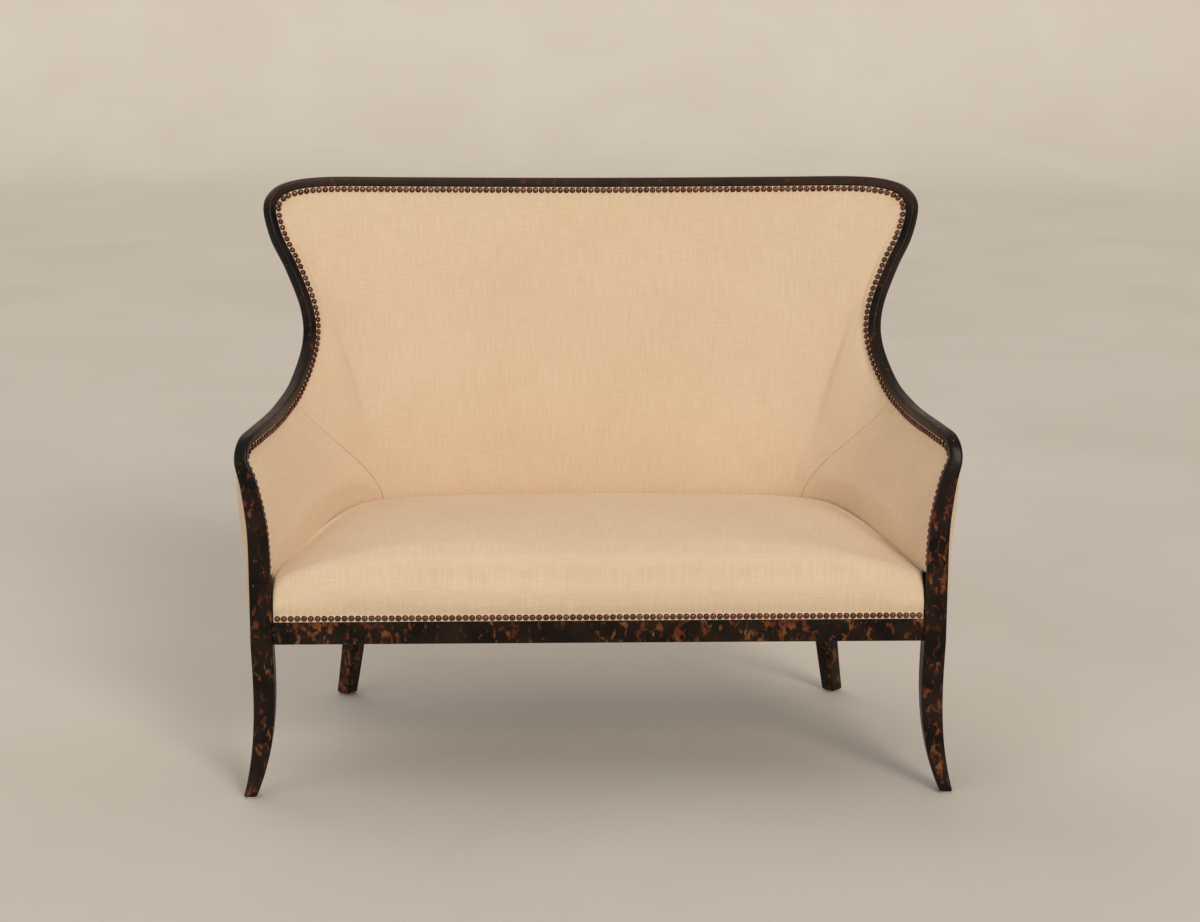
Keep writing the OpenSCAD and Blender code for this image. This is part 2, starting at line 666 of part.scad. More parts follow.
// Upright of the back, from the back rail to the underside of the crest's tongue
module back_upright(side) {
    x0 = leg_x - rear_leg_top / sqrt(2) - 34;
    y0 = back_in_y + 3;
    y1 = back_face_y - 8;
    z = rail_top + gap;
    n = mould_depth + gap;
    color(inner_wood) placed() on_side(side) post_between(
        [[x0, y0, z], [x0 + 30, y0, z], [x0 + 30, y1, z], [x0, y1, z]],
        [
            frame_pt(17.98, mould_face - rebate_in - draft, n),
            frame_pt(17.74, mould_face - rebate_in - draft, n),
            frame_pt(17.74, rebate_out + draft + 2, n), frame_pt(17.98, rebate_out + draft + 2, n)
        ]
    );
}
module left_back_upright() { back_upright("left"); }
module right_back_upright() { back_upright("right"); }

// Stud that carries the waist of the frame from the side rail
module waist_stud(side) {
    y0 = waist_depth - 22;
    y1 = waist_depth + 10;
    z = rail_top + gap;
    n = mould_depth + 1.5;
    color(inner_wood) placed() on_side(side) post_between(
        [
            [side_in(y0) + 4, y0, z], [side_out(y0) - 3, y0, z],
            [side_out(y1) - 3, y1, z], [side_in(y1) + 4, y1, z]
        ],
        [
            frame_pt(9.55, mould_face - rebate_in, n), frame_pt(9.55, rebate_out, n),
            frame_pt(9.95, rebate_out, n), frame_pt(9.95, mould_face - rebate_in, n)
        ]
    );
}
module left_waist_stud() { waist_stud("left"); }
module right_waist_stud() { waist_stud("right"); }

// Tack rails follow the seat line behind the covers' skirts
tack_h = 32;
tack_z = rail_top + 18;
tack_t = 20;
function tack_edge(s, far) =
    let (p = line_pt(s) - (cover_out(s < 3 ? 6 : 12, 1) + gap + far) * line_out(s)) [p.x, p.y];
module tack_strip(s0, s1) {
    ss = steps(s0, s1, 3);
    translate([0, 0, tack_z])
        linear_extrude(tack_h)
        polygon([for (s = ss) tack_edge(s, 0), for (i = [len(ss) - 1 : -1 : 0]) tack_edge(ss[i], tack_t)]);
}
module arm_tack_rail(side) {
    color(inner_wood) placed() on_side(side) difference() {
        tack_strip(0, 2.2);
        translate([0, post_back_y + gap - 100, 0]) cube([half_post, 100, arm_height]);
    }
}
module left_arm_tack_rail() { arm_tack_rail("left"); }
module right_arm_tack_rail() { arm_tack_rail("right"); }
module back_tack_rail() {
    color(inner_wood) placed() tack_strip(3, 2 * line_end - 3);
}

// Corner blocks, cut back from the post and the rear leg
block_leg = 90;
rear_block_leg = 150;
front_block = [
    [half_post - post_face - 6, rail_t + 2 + gap], [half_post - post_face - block_leg, rail_t + 2 + gap],
    [side_in(post_back_y + block_leg) - gap, post_back_y + block_leg],
    [side_in(post_back_y + 8) - gap, post_back_y + 8], [half_post - post_face - 6, post_back_y + 8]
];
rear_block = [
    [side_in(back_in_y) - gap, back_in_y - gap],
    [side_in(back_in_y - rear_block_leg) - gap, back_in_y - rear_block_leg],
    [side_in(back_in_y) - rear_block_leg, back_in_y - gap]
];
block_drop = 6;
// Screws of the blocks: point where the head sits, and direction into the rail
block_screws = [
    [[half_post - post_face - 45, rail_t + 34, rail_bottom + rail_h / 2], [0, -1, 0]],
    [[side_in(post_back_y + 60) - 34, post_back_y + 60, rail_bottom + rail_h / 2 - 12], [1, 0, 0]],
    [[side_in(back_in_y) - 70, back_in_y - 40, rail_bottom + rail_h / 2], [0, 1, 0]],
    [[side_in(back_in_y - 80) - 40, back_in_y - 80, rail_bottom + rail_h / 2 - 12], [1, 0, 0]]
];
module block_screw_holes() {
    for (s = block_screws) {
        rod(s[0] - 40 * s[1], s[1], 40, 9.4);
        rod(s[0] - s[1], s[1], 52, 4.6);
    }
}
module corner_block(plan) {
    difference() {
        translate([0, 0, rail_bottom + block_drop]) linear_extrude(rail_h - block_drop) polygon(plan);
        block_screw_holes();
        rear_leg_top_in_rails(gap);
    }
}
module front_corner_blocks() {
    color(inner_wood) placed() for (side = ["left", "right"]) on_side(side) corner_block(front_block);
}
module rear_corner_blocks() {
    color(inner_wood) placed() for (side = ["left", "right"]) on_side(side) corner_block(rear_block);
}
module corner_block_screws() {
    color(steel) placed() for (side = ["left", "right"]) on_side(side)
        for (s = block_screws) {
            rod(s[0], s[1], 50, 4.2);
            rod(s[0] - 3.5 * s[1], s[1], 3.5, 8.6);
        }
}

module tack_rail_risers() {
    s = 3.1;
    at = line_pt(s) - (cover_out(12, 1) + gap + tack_t / 2) * line_out(s);
    color(inner_wood) placed() for (side = ["left", "right"]) on_side(side)
        translate([at.x - 12, at.y - 10, rail_top]) cube([24, 20, tack_z - rail_top]);
}

module seat_stretcher() {
    color(inner_wood) placed()
        translate([-12, rail_t + 2 + gap / 2, rail_bottom + 2])
        cube([24, back_in_y - rail_t - 2 - gap, 36]);
}

module frame_dowels() {
    color(inner_wood) placed() for (side = ["left", "right"]) on_side(side) {
        rail_rods(0);
        for (t = [t_arm_joint, t_wing_joint, t_crest_joint]) frame_joint_rods(t, 0);
    }
}

module long_strap(x, way) {
    y0 = 6;
    y1 = back_face_y - 4;
    line = [
        [y0, 0], for (i = [0 : 2]) for (e = [-34, -26, 26, 34])
            [cross_y[i] + e, abs(e) > 30 ? 0 : strap_lift * (i % 2 == 0 ? way : -way)],
        [y1, 0]
    ];
    n = len(line) - 1;
    translate([x - strap_width / 2, 0, 0])
        rotate([90, 0, 90])
        linear_extrude(strap_width)
        polygon([
            for (p = line) [p[0], strap_z + p[1]],
            for (i = [n : -1 : 0]) [line[i][0], strap_z + line[i][1] + strap_t]
        ]);
}
module long_straps() {
    color(webbing) placed()
        for (i = [0 : strap_count - 1])
            long_strap((i - (strap_count - 1) / 2) * strap_pitch, i % 2 == 0 ? 1 : -1);
}
module cross_straps() {
    color(webbing) placed() for (y = cross_y) {
        x = side_out(y + strap_width / 2) - 6;
        translate([-x, y - strap_width / 2, strap_z]) cube([2 * x, strap_width, strap_t]);
    }
}

module seat_hessian() {
    x0 = half_post - post_face - 3;
    y1 = back_in_y + 2;
    color([0.66, 0.52, 0.34]) placed() difference() {
        translate([0, 0, hessian_z])
            linear_extrude(hessian_t)
            polygon([
                [-x0, 6], [x0, 6], [x0, post_back_y + 4], [side_in(post_back_y + 4) - 1, post_back_y + 4],
                [side_in(y1 - 90) - 1, y1 - 90], [side_in(y1 - 90) - 100, y1],
                [100 - side_in(y1 - 90), y1], [1 - side_in(y1 - 90), y1 - 90],
                [1 - side_in(post_back_y + 4), post_back_y + 4], [-x0, post_back_y + 4]
            ]);
        for (side = ["left", "right"]) on_side(side) {
            at = line_pt(3.1) - (cover_out(12, 1) + gap + tack_t / 2) * line_out(3.1);
            translate([at.x - 13, at.y - 11, rail_top]) cube([26, 22, 40]);
        }
    }
}

module seat_cover() {
    color(linen) placed() between_sheets(
        [for (q = seat_columns) seat_column(q, cover_t, seat_hem)],
        [for (q = seat_columns) seat_column(q, 0, seat_hem)], true
    );
}
module seat_foam() {
    d = cover_t + 0.8;
    color([0.9, 0.87, 0.7]) placed() through_rings([
        for (i = [len(seat_columns) - 1 : -1 : 0])
            let (c = seat_column(seat_columns[i], d, foam_floor + 2), n = len(c) - 1)
            [each c, [c[n].x, c[n].y, foam_floor], [c[0].x, c[0].y, foam_floor]]
    ]);
}

arm_places = [
    t_seat_line, each steps(1.6, 2.6, 2), each steps(3, 5.4, 2.5), 6,
    for (s = arm_stations) lookup(s, turned(arm_table)),
    t_seam - 0.006
];
back_half = [
    each steps(t_seam + 0.006, 10.4, 2.8), each steps(11, 13, 1.4), each steps(13.4, 16.6, 2.5),
    for (s = [3.8, 4, 4.25, 4.5, 4.85, 5.2, 5.6, line_end]) lookup(s, turned(back_table))
];
back_places = [each back_half, for (i = [len(back_half) - 2 : -1 : 0]) 2 * mid - back_half[i]];
module back_layer(tops, unders, n) {
    placed() between_sheets(
        inside_sheet(back_places, on_back, n, tops), inside_sheet(back_places, on_back, n, unders), true
    );
}
module arm_layer(side, tops, unders) {
    placed() on_side(side) between_sheets(
        inside_sheet(arm_places, on_arm, 5, tops), inside_sheet(arm_places, on_arm, 5, unders)
    );
}
module inside_back_cover() { color(linen) back_layer(cover_top, cover_under, 6); }
module back_pad() { color([0.93, 0.9, 0.84]) back_layer(pad_top, pad_under, 6); }
module left_inside_arm_cover() { color(linen) arm_layer("left", cover_top, cover_under); }
module right_inside_arm_cover() { color(linen) arm_layer("right", cover_top, cover_under); }
module left_arm_pad() { color([0.93, 0.9, 0.84]) arm_layer("left", pad_top, pad_under); }
module right_arm_pad() { color([0.93, 0.9, 0.84]) arm_layer("right", pad_top, pad_under); }
module back_hessian() {
    ts = [for (t = back_places) if (abs(t - mid) < 2.6) t];
    color([0.66, 0.52, 0.34]) placed() between_sheets(
        inside_sheet(ts, on_back, 6, hessian_top), inside_sheet(ts, on_back, 6, hessian_under), true
    );
}

outside_gap = 1.2;
module outside_layer(ts, line, n, swell, both = false) {
    between_sheets(
        outside_sheet(ts, line, n, outside_gap, swell),
        outside_sheet(ts, line, n, outside_gap + cover_t, swell), both
    );
}
outside_arm_places =
    concat(steps(0.2, 3, 1.8), steps(10 / 3, 16 / 3, 3), steps(5.8, t_outside_seam - 0.006, 2.1));
module outside_arm_cover(side) {
    color(linen) placed() on_side(side)
        outside_layer(outside_arm_places, on_side_rail, 5, outside_swell);
}
module left_outside_arm_cover() { outside_arm_cover("left"); }
module right_outside_arm_cover() { outside_arm_cover("right"); }
module outside_back_cover() {
    half = concat(steps(t_outside_seam + 0.006, 17, 2.1), steps(17.6, mid, 1.2));
    ts = concat(half, [for (i = [len(half) - 2 : -1 : 0]) 2 * mid - half[i]]);
    color(linen) placed() outside_layer(ts, on_back_rail, 6, 0, true);
}

band_t = 0.8;
// Nails sit in the middle of the flat strip of cover beside the moulding, on the cover's own columns
function nail_pt(t) =
    frame_pt(t, face_w(t) - rebate_in + cover_out(t, 0) + 0.3, mould_side + edge_gap + strip_w / 2);
nail_places = concat(arm_places, back_places);
nail_columns = [for (t = nail_places) nail_pt(t)];
function on_columns(t) = [
    for (axis = [0 : 2])
        lookup(t, [for (i = [0 : len(nail_places) - 1]) [nail_places[i], nail_columns[i][axis]]])
];
function row_length(ps, i = 1, sum = 0, out = [0]) =
    i >= len(ps) ? out :
    let (next = sum + norm(ps[i] - ps[i - 1])) row_length(ps, i + 1, next, concat(out, [next]));
module nail_row(t0, t1) {
    ts = steps(t0, t1, 8);
    lengths = row_length([for (t = ts) on_columns(t)]);
    total = lengths[len(ts) - 1];
    count = floor(total / nail_pitch);
    place = [for (i = [0 : len(ts) - 1]) [lengths[i], ts[i]]];
    for (i = [0 : count - 1]) {
        t = lookup((i + 0.5) * total / count, place);
        nail_head(on_columns(t), inward_at(t));
    }
}

module front_nail_band() {
    color(linen) placed()
        translate([-seat_half + 1, seat_face_y - 0.2 - band_t, seat_hem])
        cube([2 * seat_half - 2, band_t, band_h - 0.4]);
}
module front_nails() {
    span = 2 * seat_half - 4;
    count = floor(span / nail_pitch);
    y = seat_face_y - 0.4 - band_t;
    color([0.3, 0.2, 0.13]) placed()
        for (i = [0 : count - 1])
            nail_head([(i + 0.5) * span / count - span / 2, y, seat_hem + band_h / 2], [0, -1, 0]);
}
module side_nails(side) {
    color([0.3, 0.2, 0.13]) placed() on_side(side) nail_row(t_seat_line + 0.15, t_crest_joint);
}
module left_side_nails() { side_nails("left"); }
module right_side_nails() { side_nails("right"); }
module crest_nails() {
    color([0.3, 0.2, 0.13]) placed() nail_row(t_crest_joint, 2 * mid - t_crest_joint);
}

module dust_cover() {
    x0 = half_post - post_face - 4;
    y0 = post_back_y + 4;
    y1 = back_face_y - corner_cut - 6;
    color([0.08, 0.08, 0.09]) placed() difference() {
        translate([0, 0, rail_bottom - 1.2])
            linear_extrude(1)
            polygon([
                [-x0, 8], [x0, 8], [x0, y0], [side_out(y0) - 8, y0], [side_out(y1) - 8, y1],
                [-side_out(y1) + 8, y1], [-side_out(y0) + 8, y0], [-x0, y0]
            ]);
        for (side = ["left", "right"]) on_side(side) rear_leg_top_in_rails(3);
    }
}

module glides() {
    front = leg_ring(1);
    back = rear_leg_ring(1);
    color([0.85, 0.84, 0.8]) placed() for (side = ["left", "right"]) on_side(side) {
        translate([mix(front[1].x, front[7].x, 0.5), mix(front[1].y, front[7].y, 0.5), 0])
            cylinder(h = glide_h, d = glide_d, $fn = 32);
        translate([leg_x + rear_kick, leg_y + rear_kick, 0]) cylinder(h = glide_h, d = glide_d, $fn = 32);
    }
}

left_front_leg_post();
right_front_leg_post();
left_arm_rail();
right_arm_rail();
left_wing_rail();
right_wing_rail();
crest_rail();
front_seat_rail();
left_side_rail();
right_side_rail();
back_seat_rail();
left_rear_leg();
right_rear_leg();
left_back_upright();
right_back_upright();
left_waist_stud();
right_waist_stud();
back_tack_rail();
left_arm_tack_rail();
right_arm_tack_rail();
tack_rail_risers();
seat_stretcher();
front_corner_blocks();
rear_corner_blocks();
corner_block_screws();
frame_dowels();
long_straps();
cross_straps();
seat_hessian();
seat_foam();
seat_cover();
back_hessian();
back_pad();
inside_back_cover();
left_arm_pad();
right_arm_pad();
left_inside_arm_cover();
right_inside_arm_cover();
left_outside_arm_cover();
right_outside_arm_cover();
outside_back_cover();
front_nail_band();
front_nails();
left_side_nails();
right_side_nails();
crest_nails();
dust_cover();
glides();
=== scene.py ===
"""Looks of a wing-back settee: one swept show-wood frame, nailed linen covers and a tight seat.

Lengths are in millimetres until a mesh is made, and the row frame is in metres.
"""

import sys
import json
import logging
import math
from dataclasses import dataclass, field
from enum import Enum
from functools import lru_cache, partial
from typing import Callable, Sequence

import bmesh
import bpy
import numpy as np
from mathutils import Matrix, Vector


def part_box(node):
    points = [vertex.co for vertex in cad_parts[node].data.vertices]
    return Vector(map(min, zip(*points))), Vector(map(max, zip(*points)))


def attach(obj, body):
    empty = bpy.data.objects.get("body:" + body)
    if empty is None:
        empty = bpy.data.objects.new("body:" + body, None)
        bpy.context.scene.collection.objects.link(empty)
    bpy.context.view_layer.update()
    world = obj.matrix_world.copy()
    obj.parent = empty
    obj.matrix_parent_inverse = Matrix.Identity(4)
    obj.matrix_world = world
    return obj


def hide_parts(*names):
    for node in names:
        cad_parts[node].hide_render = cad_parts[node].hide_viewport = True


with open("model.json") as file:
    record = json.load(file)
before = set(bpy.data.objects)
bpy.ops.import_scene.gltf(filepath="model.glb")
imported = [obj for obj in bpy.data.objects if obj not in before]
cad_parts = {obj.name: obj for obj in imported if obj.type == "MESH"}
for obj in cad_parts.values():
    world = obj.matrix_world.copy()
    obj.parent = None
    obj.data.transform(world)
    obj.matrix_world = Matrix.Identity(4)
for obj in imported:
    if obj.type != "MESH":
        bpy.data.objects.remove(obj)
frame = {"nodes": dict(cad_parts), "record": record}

LOG = logging.getLogger("settee")
MM = 0.001
BODY = "root"
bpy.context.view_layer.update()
# Front rail's face in the row frame, which is Y = 0 of the maker's layout
FACE_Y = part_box("front_seat_rail")[0].y / MM

# Points and faces of a mesh, and a nail's place, the way that it faces and the way its row runs
Skin = tuple[np.ndarray, list[tuple[int, ...]]]
NailSeat = tuple[np.ndarray, np.ndarray, np.ndarray]


class Side(Enum):
    """A side of the settee, by the row's X axis."""

    LEFT = -1
    RIGHT = 1

    @property
    def word(self) -> str:
        """Name of the side as the nodes have it."""
        return self.name.lower()


SIDES = (Side.LEFT, Side.RIGHT)


@dataclass(frozen=True)
class Sizes:
    """Named sizes of the settee in millimetres, as the part's source has them."""

    post_span: float = 1240.0
    knuckle_flare: float = 22.0
    waist_span: float = 1100.0
    shoulder_span: float = 1252.0
    arm_height: float = 656.0
    crest_height: float = 1033.0
    crest_dip: float = 8.0
    waist_depth: float = 425.0
    shoulder_depth: float = 530.0
    frame_depth: float = 620.0
    post_face: float = 39.0
    mould_face: float = 22.0
    mould_side: float = 16.0
    post_depth: float = 48.0
    mould_depth: float = 34.0
    rebate_in: float = 8.0
    rebate_out: float = 3.5
    post_proud: float = 8.0
    rail_bottom: float = 276.0
    rail_face_h: float = 41.0
    rail_h: float = 62.0
    rail_t: float = 30.0
    foot_kick: float = 26.0
    foot_flare: float = 16.0
    foot_w: float = 23.0
    rear_leg_top: float = 40.0
    rear_leg_foot: float = 30.0
    rear_kick: float = 30.0
    glide_h: float = 3.0
    seat_front_h: float = 443.0
    seat_line_h: float = 422.0
    seat_crown: float = 22.0
    roll_r: float = 34.0
    cover_t: float = 1.6
    back_pad_t: float = 24.0
    arm_pad_t: float = 13.0
    outside_swell: float = 10.0
    nail_d: float = 11.0
    nail_h: float = 3.5
    nail_pitch: float = 11.9
    strap_count: int = 9
    strap_width: float = 50.0
    edge_gap: float = 1.2
    draft: float = 2.0
    corner_inset: float = 60.0
    back_inset: float = 48.0

    @property
    def rail_top(self) -> float:
        """Height of the top of the rails."""
        return self.rail_bottom + self.rail_h

    @property
    def face_top(self) -> float:
        """Height of the top of the front rail's show face."""
        return self.rail_bottom + self.rail_face_h

    @property
    def post_back(self) -> float:
        """Depth of the back of the front posts."""
        return self.post_depth - self.post_proud

    @property
    def half_post(self) -> float:
        """Half of the width over the posts."""
        return self.post_span / 2

    @property
    def corner_x(self) -> float:
        """Half of the width over the back corners of the rails."""
        return self.waist_span / 2 - self.corner_inset

    @property
    def back_y(self) -> float:
        """Depth of the back of the rails."""
        return self.frame_depth - self.back_inset

    @property
    def strip(self) -> float:
        """Width of the flat strip of cover that carries the nails."""
        return self.nail_d + 1.5


S = Sizes()

# Places along the frame's curve: its joints, and the seams of the covers
REBATE_AT, ARM_JOINT, WING_JOINT, CREST_JOINT = 0.18, 5.6, 10.2, 16.6
SEAT_LINE_AT, SEAM_AT, OUTSIDE_SEAM_AT = 1.15, 8.7, 10.0


# ---------------------------------------------------------------- small maths


def mix(a, b, k):
    """Point or number between a and b, at share k."""
    return a + (b - a) * k


def unit(v: np.ndarray) -> np.ndarray:
    """Vector of length one along v."""
    return v / np.linalg.norm(v)


def smooth(k: float) -> float:
    """Ease from 0 to 1, flat at both ends."""
    k = min(max(k, 0.0), 1.0)
    return k * k * (3 - 2 * k)


def mirrored(p: np.ndarray) -> np.ndarray:
    """Point on the other side of the middle plane."""
    return p * np.array([-1.0, 1.0, 1.0])


def rail_out(y: float) -> float:
    """Half of the width over the side rails at a depth."""
    k = (y - S.post_back) / (S.back_y - S.rail_t - S.post_back)
    return mix(S.half_post - S.rebate_out, S.corner_x, k)


def table(x: float, rows: Sequence[Sequence[float]]) -> float:
    """Value of a table of places and values, with straight lines between its rows."""
    return float(np.interp(x, [r[0] for r in rows], [r[1] for r in rows]))


@lru_cache(maxsize=None)
def flowing(x: float, rows: Sequence[Sequence[float]]) -> float:
    """Value of a table with smooth curves that never overshoot between its rows.

    Args:
        x: place in the table.
        rows: pairs of place and value, rising in place.

    Returns:
        The value at x, held at the end values outside the table.
    """
    xs = np.array([r[0] for r in rows], float)
    ys = np.array([r[1] for r in rows], float)
    if x <= xs[0]:
        return float(ys[0])
    if x >= xs[-1]:
        return float(ys[-1])
    step, rise = np.diff(xs), np.diff(ys)
    grade = rise / step
    slope = np.zeros(len(xs))
    for i in range(1, len(xs) - 1):
        if grade[i - 1] * grade[i] > 0:
            a, b = 2 * step[i] + step[i - 1], step[i] + 2 * step[i - 1]
            slope[i] = (a + b) / (a / grade[i - 1] + b / grade[i])
    slope[0], slope[-1] = grade[0], grade[-1]
    i = int(np.searchsorted(xs, x) - 1)
    leave, arrive = step[i] * slope[i], step[i] * slope[i + 1]
    return float(hermite(ys[i], leave, ys[i + 1], arrive, (x - xs[i]) / step[i]))


def hermite(a, da, c, dc, k):
    """Curve from a to c that leaves along da and arrives along dc."""
    k2, k3 = k * k, k * k * k
    return (2 * k3 - 3 * k2 + 1) * a + (k3 - 2 * k2 + k) * da + (3 * k2 - 2 * k3) * c + (k3 - k2) * dc


def knot_curve(a, b, c, d, k):
    """Curve through b and c with a and d before and after them."""
    bend, twist = 2 * a - 5 * b + 4 * c - d, 3 * b - a - 3 * c + d
    return (2 * b + (c - a) * k + bend * k * k + twist * k**3) / 2


@dataclass
class MirroredCurve:
    """Smooth curve from the right front post to the middle plane, mirrored past its last point."""

    points: np.ndarray

    @property
    def end(self) -> int:
        """Place of the middle plane on the curve."""
        return len(self.points) - 1

    def knot(self, i: int) -> np.ndarray:
        """Point i of the curve, carried on before its start and mirrored past its end."""
        if i < 0:
            return 2 * self.points[0] - self.points[1]
        return mirrored(self.points[2 * self.end - i]) if i > self.end else self.points[i]

    def at(self, t: float) -> np.ndarray:
        """Point of the curve at place t."""
        if t > self.end:
            return mirrored(self.at(2 * self.end - t))
        i = min(math.floor(t), self.end)
        return knot_curve(*(self.knot(i + n) for n in (-1, 0, 1, 2)), t - i)

    def towards(self, t: float) -> np.ndarray:
        """Direction of the curve at place t."""
        return unit(self.at(t + 0.02) - self.at(t - 0.02))


@dataclass
class FrameLine:
    """Outer front edge of the show frame, with the directions across its face and into its depth."""

    lean: float = 8.0
    curve: MirroredCurve = field(init=False)

    TURN = (
        (0, 0), (3, 0), (5, 8), (7, 14), (9, 26), (10, 38), (11, 48), (14, 52), (15, 58), (16, 68),
        (17, 80), (18, 86), (20, 90),
    )

    def __post_init__(self) -> None:
        """Draws the curve through the same points as the part's source."""
        hp, hw, hs = S.half_post, S.waist_span / 2, S.shoulder_span / 2
        hk, wd, sd, fd = hp + S.knuckle_flare, S.waist_depth, S.shoulder_depth, S.frame_depth
        ah, ch, pp = S.arm_height, S.crest_height, S.post_proud

        def arm(k: float) -> float:
            return mix(S.rail_bottom, ah, k)

        def crest(k: float) -> float:
            return mix(ah, ch, k)

        self.curve = MirroredCurve(np.array([
            (hp, -pp, S.rail_bottom),
            (hp, -pp, arm(0.27)),
            (mix(hp, hk, 0.06), 1 - pp, arm(0.54)),
            (mix(hp, hk, 0.5), -2, arm(0.75)),
            (hk, 9, arm(0.88)),
            (mix(hp, hk, 0.73), 0.08 * wd, ah - 12),
            (hp, 0.21 * wd, ah - 3),
            (mix(hw, hp, 0.73), 0.42 * wd, ah),
            (mix(hw, hp, 0.54), 0.62 * wd, ah + 4),
            (mix(hw, hp, 0.26), 0.82 * wd, crest(0.07)),
            (hw, wd, crest(0.22)),
            (mix(hw, hs, 0.05), mix(wd, sd, 0.33), crest(0.37)),
            (mix(hw, hs, 0.43), mix(wd, sd, 0.61), crest(0.56)),
            (mix(hw, hs, 0.82), mix(wd, sd, 0.83), crest(0.71)),
            (hs, sd, crest(0.86)),
            (hs - 14, mix(sd, fd, 0.18), ch - 22),
            (hs - 48, mix(sd, fd, 0.33), ch - 6),
            (hs - 116, mix(sd, fd, 0.52), ch),
            (0.6 * hs, mix(sd, fd, 0.75), ch - 0.4 * S.crest_dip),
            (0.32 * hs, mix(sd, fd, 0.92), ch - 0.8 * S.crest_dip),
            (0, fd, ch - S.crest_dip),
        ], float))

    @property
    def mid(self) -> int:
        """Place of the middle of the crest."""
        return self.curve.end

    def half(self, t: float) -> float:
        """Place on the right half that t mirrors."""
        return 2 * self.mid - t if t > self.mid else t

    def inward(self, t: float) -> np.ndarray:
        """Direction across the face, from the outer edge to the covers."""
        if t > self.mid:
            return mirrored(self.inward(2 * self.mid - t))
        along, turn = self.curve.towards(t), math.radians(flowing(t, self.TURN))
        raw = np.array(
            [-math.cos(turn), -math.sin(turn), math.sin(turn) * math.tan(math.radians(self.lean))]
        )
        return unit(raw - raw.dot(along) * along)

    def depth(self, t: float) -> np.ndarray:
        """Direction from the face into the frame."""
        if t > self.mid:
            return mirrored(self.depth(2 * self.mid - t))
        return -np.cross(self.curve.towards(t), self.inward(t))

    def point(self, t: float, b: float, n: float) -> np.ndarray:
        """Point b inward over the face and n deep from it."""
        if t > self.mid:
            return mirrored(self.point(2 * self.mid - t, b, n))
        return self.curve.at(t) + b * self.inward(t) + n * self.depth(t)

    def face(self, t: float) -> float:
        """Width of the face at place t."""
        wide, slim = S.post_face, S.mould_face
        return table(self.half(t), (
            (0, wide), (1, wide), (2, mix(slim, wide, 0.85)), (3, mix(slim, wide, 0.5)),
            (4, mix(slim, wide, 0.1)), (5, slim),
        ))


LINE = FrameLine()


def both_halves(half: list[float]) -> list[float]:
    """Places along a right half and on along its mirror image."""
    return half + [2 * LINE.mid - t for t in reversed(half[:-1])]


# ---------------------------------------------------------------- meshes


def steps(start: float, stop: float, count: int) -> list[float]:
    """Evenly spaced places from start to stop, both among them."""
    return [float(x) for x in np.linspace(start, stop, count)]


def spread(
    path: Callable[[float], np.ndarray], start: float, stop: float, pitch: float
) -> list[float]:
    """Places that are evenly far apart along a path, at about a given distance.

    Args:
        path: gives the path's point at a place.
        start: first place.
        stop: last place.
        pitch: wanted distance in millimetres.

    Returns:
        The places, start and stop among them.
    """
    tries = steps(start, stop, 600)
    run = np.linalg.norm(np.diff([path(t) for t in tries], axis=0), axis=1)
    run = np.concatenate([[0], np.cumsum(run)])
    wanted = steps(0, run[-1], max(2, round(run[-1] / pitch) + 1))
    return [float(t) for t in np.interp(wanted, run, tries)]


def rounded(corners: np.ndarray, radii: Sequence[float], cuts: int = 4) -> np.ndarray:
    """Outline with each corner rounded off by a small curve.

    Args:
        corners: the outline's corners, in order.
        radii: how far from its corner each curve starts.
        cuts: how many pieces each curve has.

    Returns:
        The outline's points, cuts + 1 for each corner.
    """
    made, n = [], len(corners)
    for i, corner in enumerate(corners):
        before, after = corners[i - 1] - corner, corners[(i + 1) % n] - corner
        for k in np.linspace(0, 1, cuts + 1):
            a = corner + before * min(0.49, radii[i] / max(np.linalg.norm(before), 1e-6))
            b = corner + after * min(0.49, radii[i] / max(np.linalg.norm(after), 1e-6))
            made.append((1 - k) ** 2 * a + 2 * k * (1 - k) * corner + k * k * b)
    return np.array(made)


def ring_faces(n: int, m: int) -> list[tuple[int, ...]]:
    """Faces round n rings of m points each."""
    return [
        (i * m + j, i * m + (j + 1) % m, (i + 1) * m + (j + 1) % m, (i + 1) * m + j)
        for i in range(n - 1)
        for j in range(m)
    ]


def ring_skin(rings: np.ndarray) -> Skin:
    """Closed skin through rings, with a cap at each end."""
    n, m = rings.shape[:2]
    caps = [tuple(reversed(range(m))), tuple(range((n - 1) * m, n * m))]
    return rings.reshape(-1, 3), ring_faces(n, m) + caps


def slab_skin(top: np.ndarray, under: np.ndarray) -> Skin:
    """Closed skin of the body between two sheets of points of the same count."""
    nu, nv = top.shape[:2]
    far = nu * nv
    faces: list[tuple[int, ...]] = []
    for i in range(nu - 1):
        for j in range(nv - 1):
            p = i * nv + j
            faces.append((p, p + 1, p + nv + 1, p + nv))
            faces.append((far + p, far + p + nv, far + p + nv + 1, far + p + 1))
    for i in range(nu - 1):
        for p, flip in ((i * nv, False), (i * nv + nv - 1, True)):
            rim = (p, p + nv, far + p + nv, far + p)
            faces.append(rim[::-1] if flip else rim)
    for j in range(nv - 1):
        for p, flip in ((j, True), ((nu - 1) * nv + j, False)):
            rim = (p, p + 1, far + p + 1, far + p)
            faces.append(rim[::-1] if flip else rim)
    return np.concatenate([top.reshape(-1, 3), under.reshape(-1, 3)]), faces


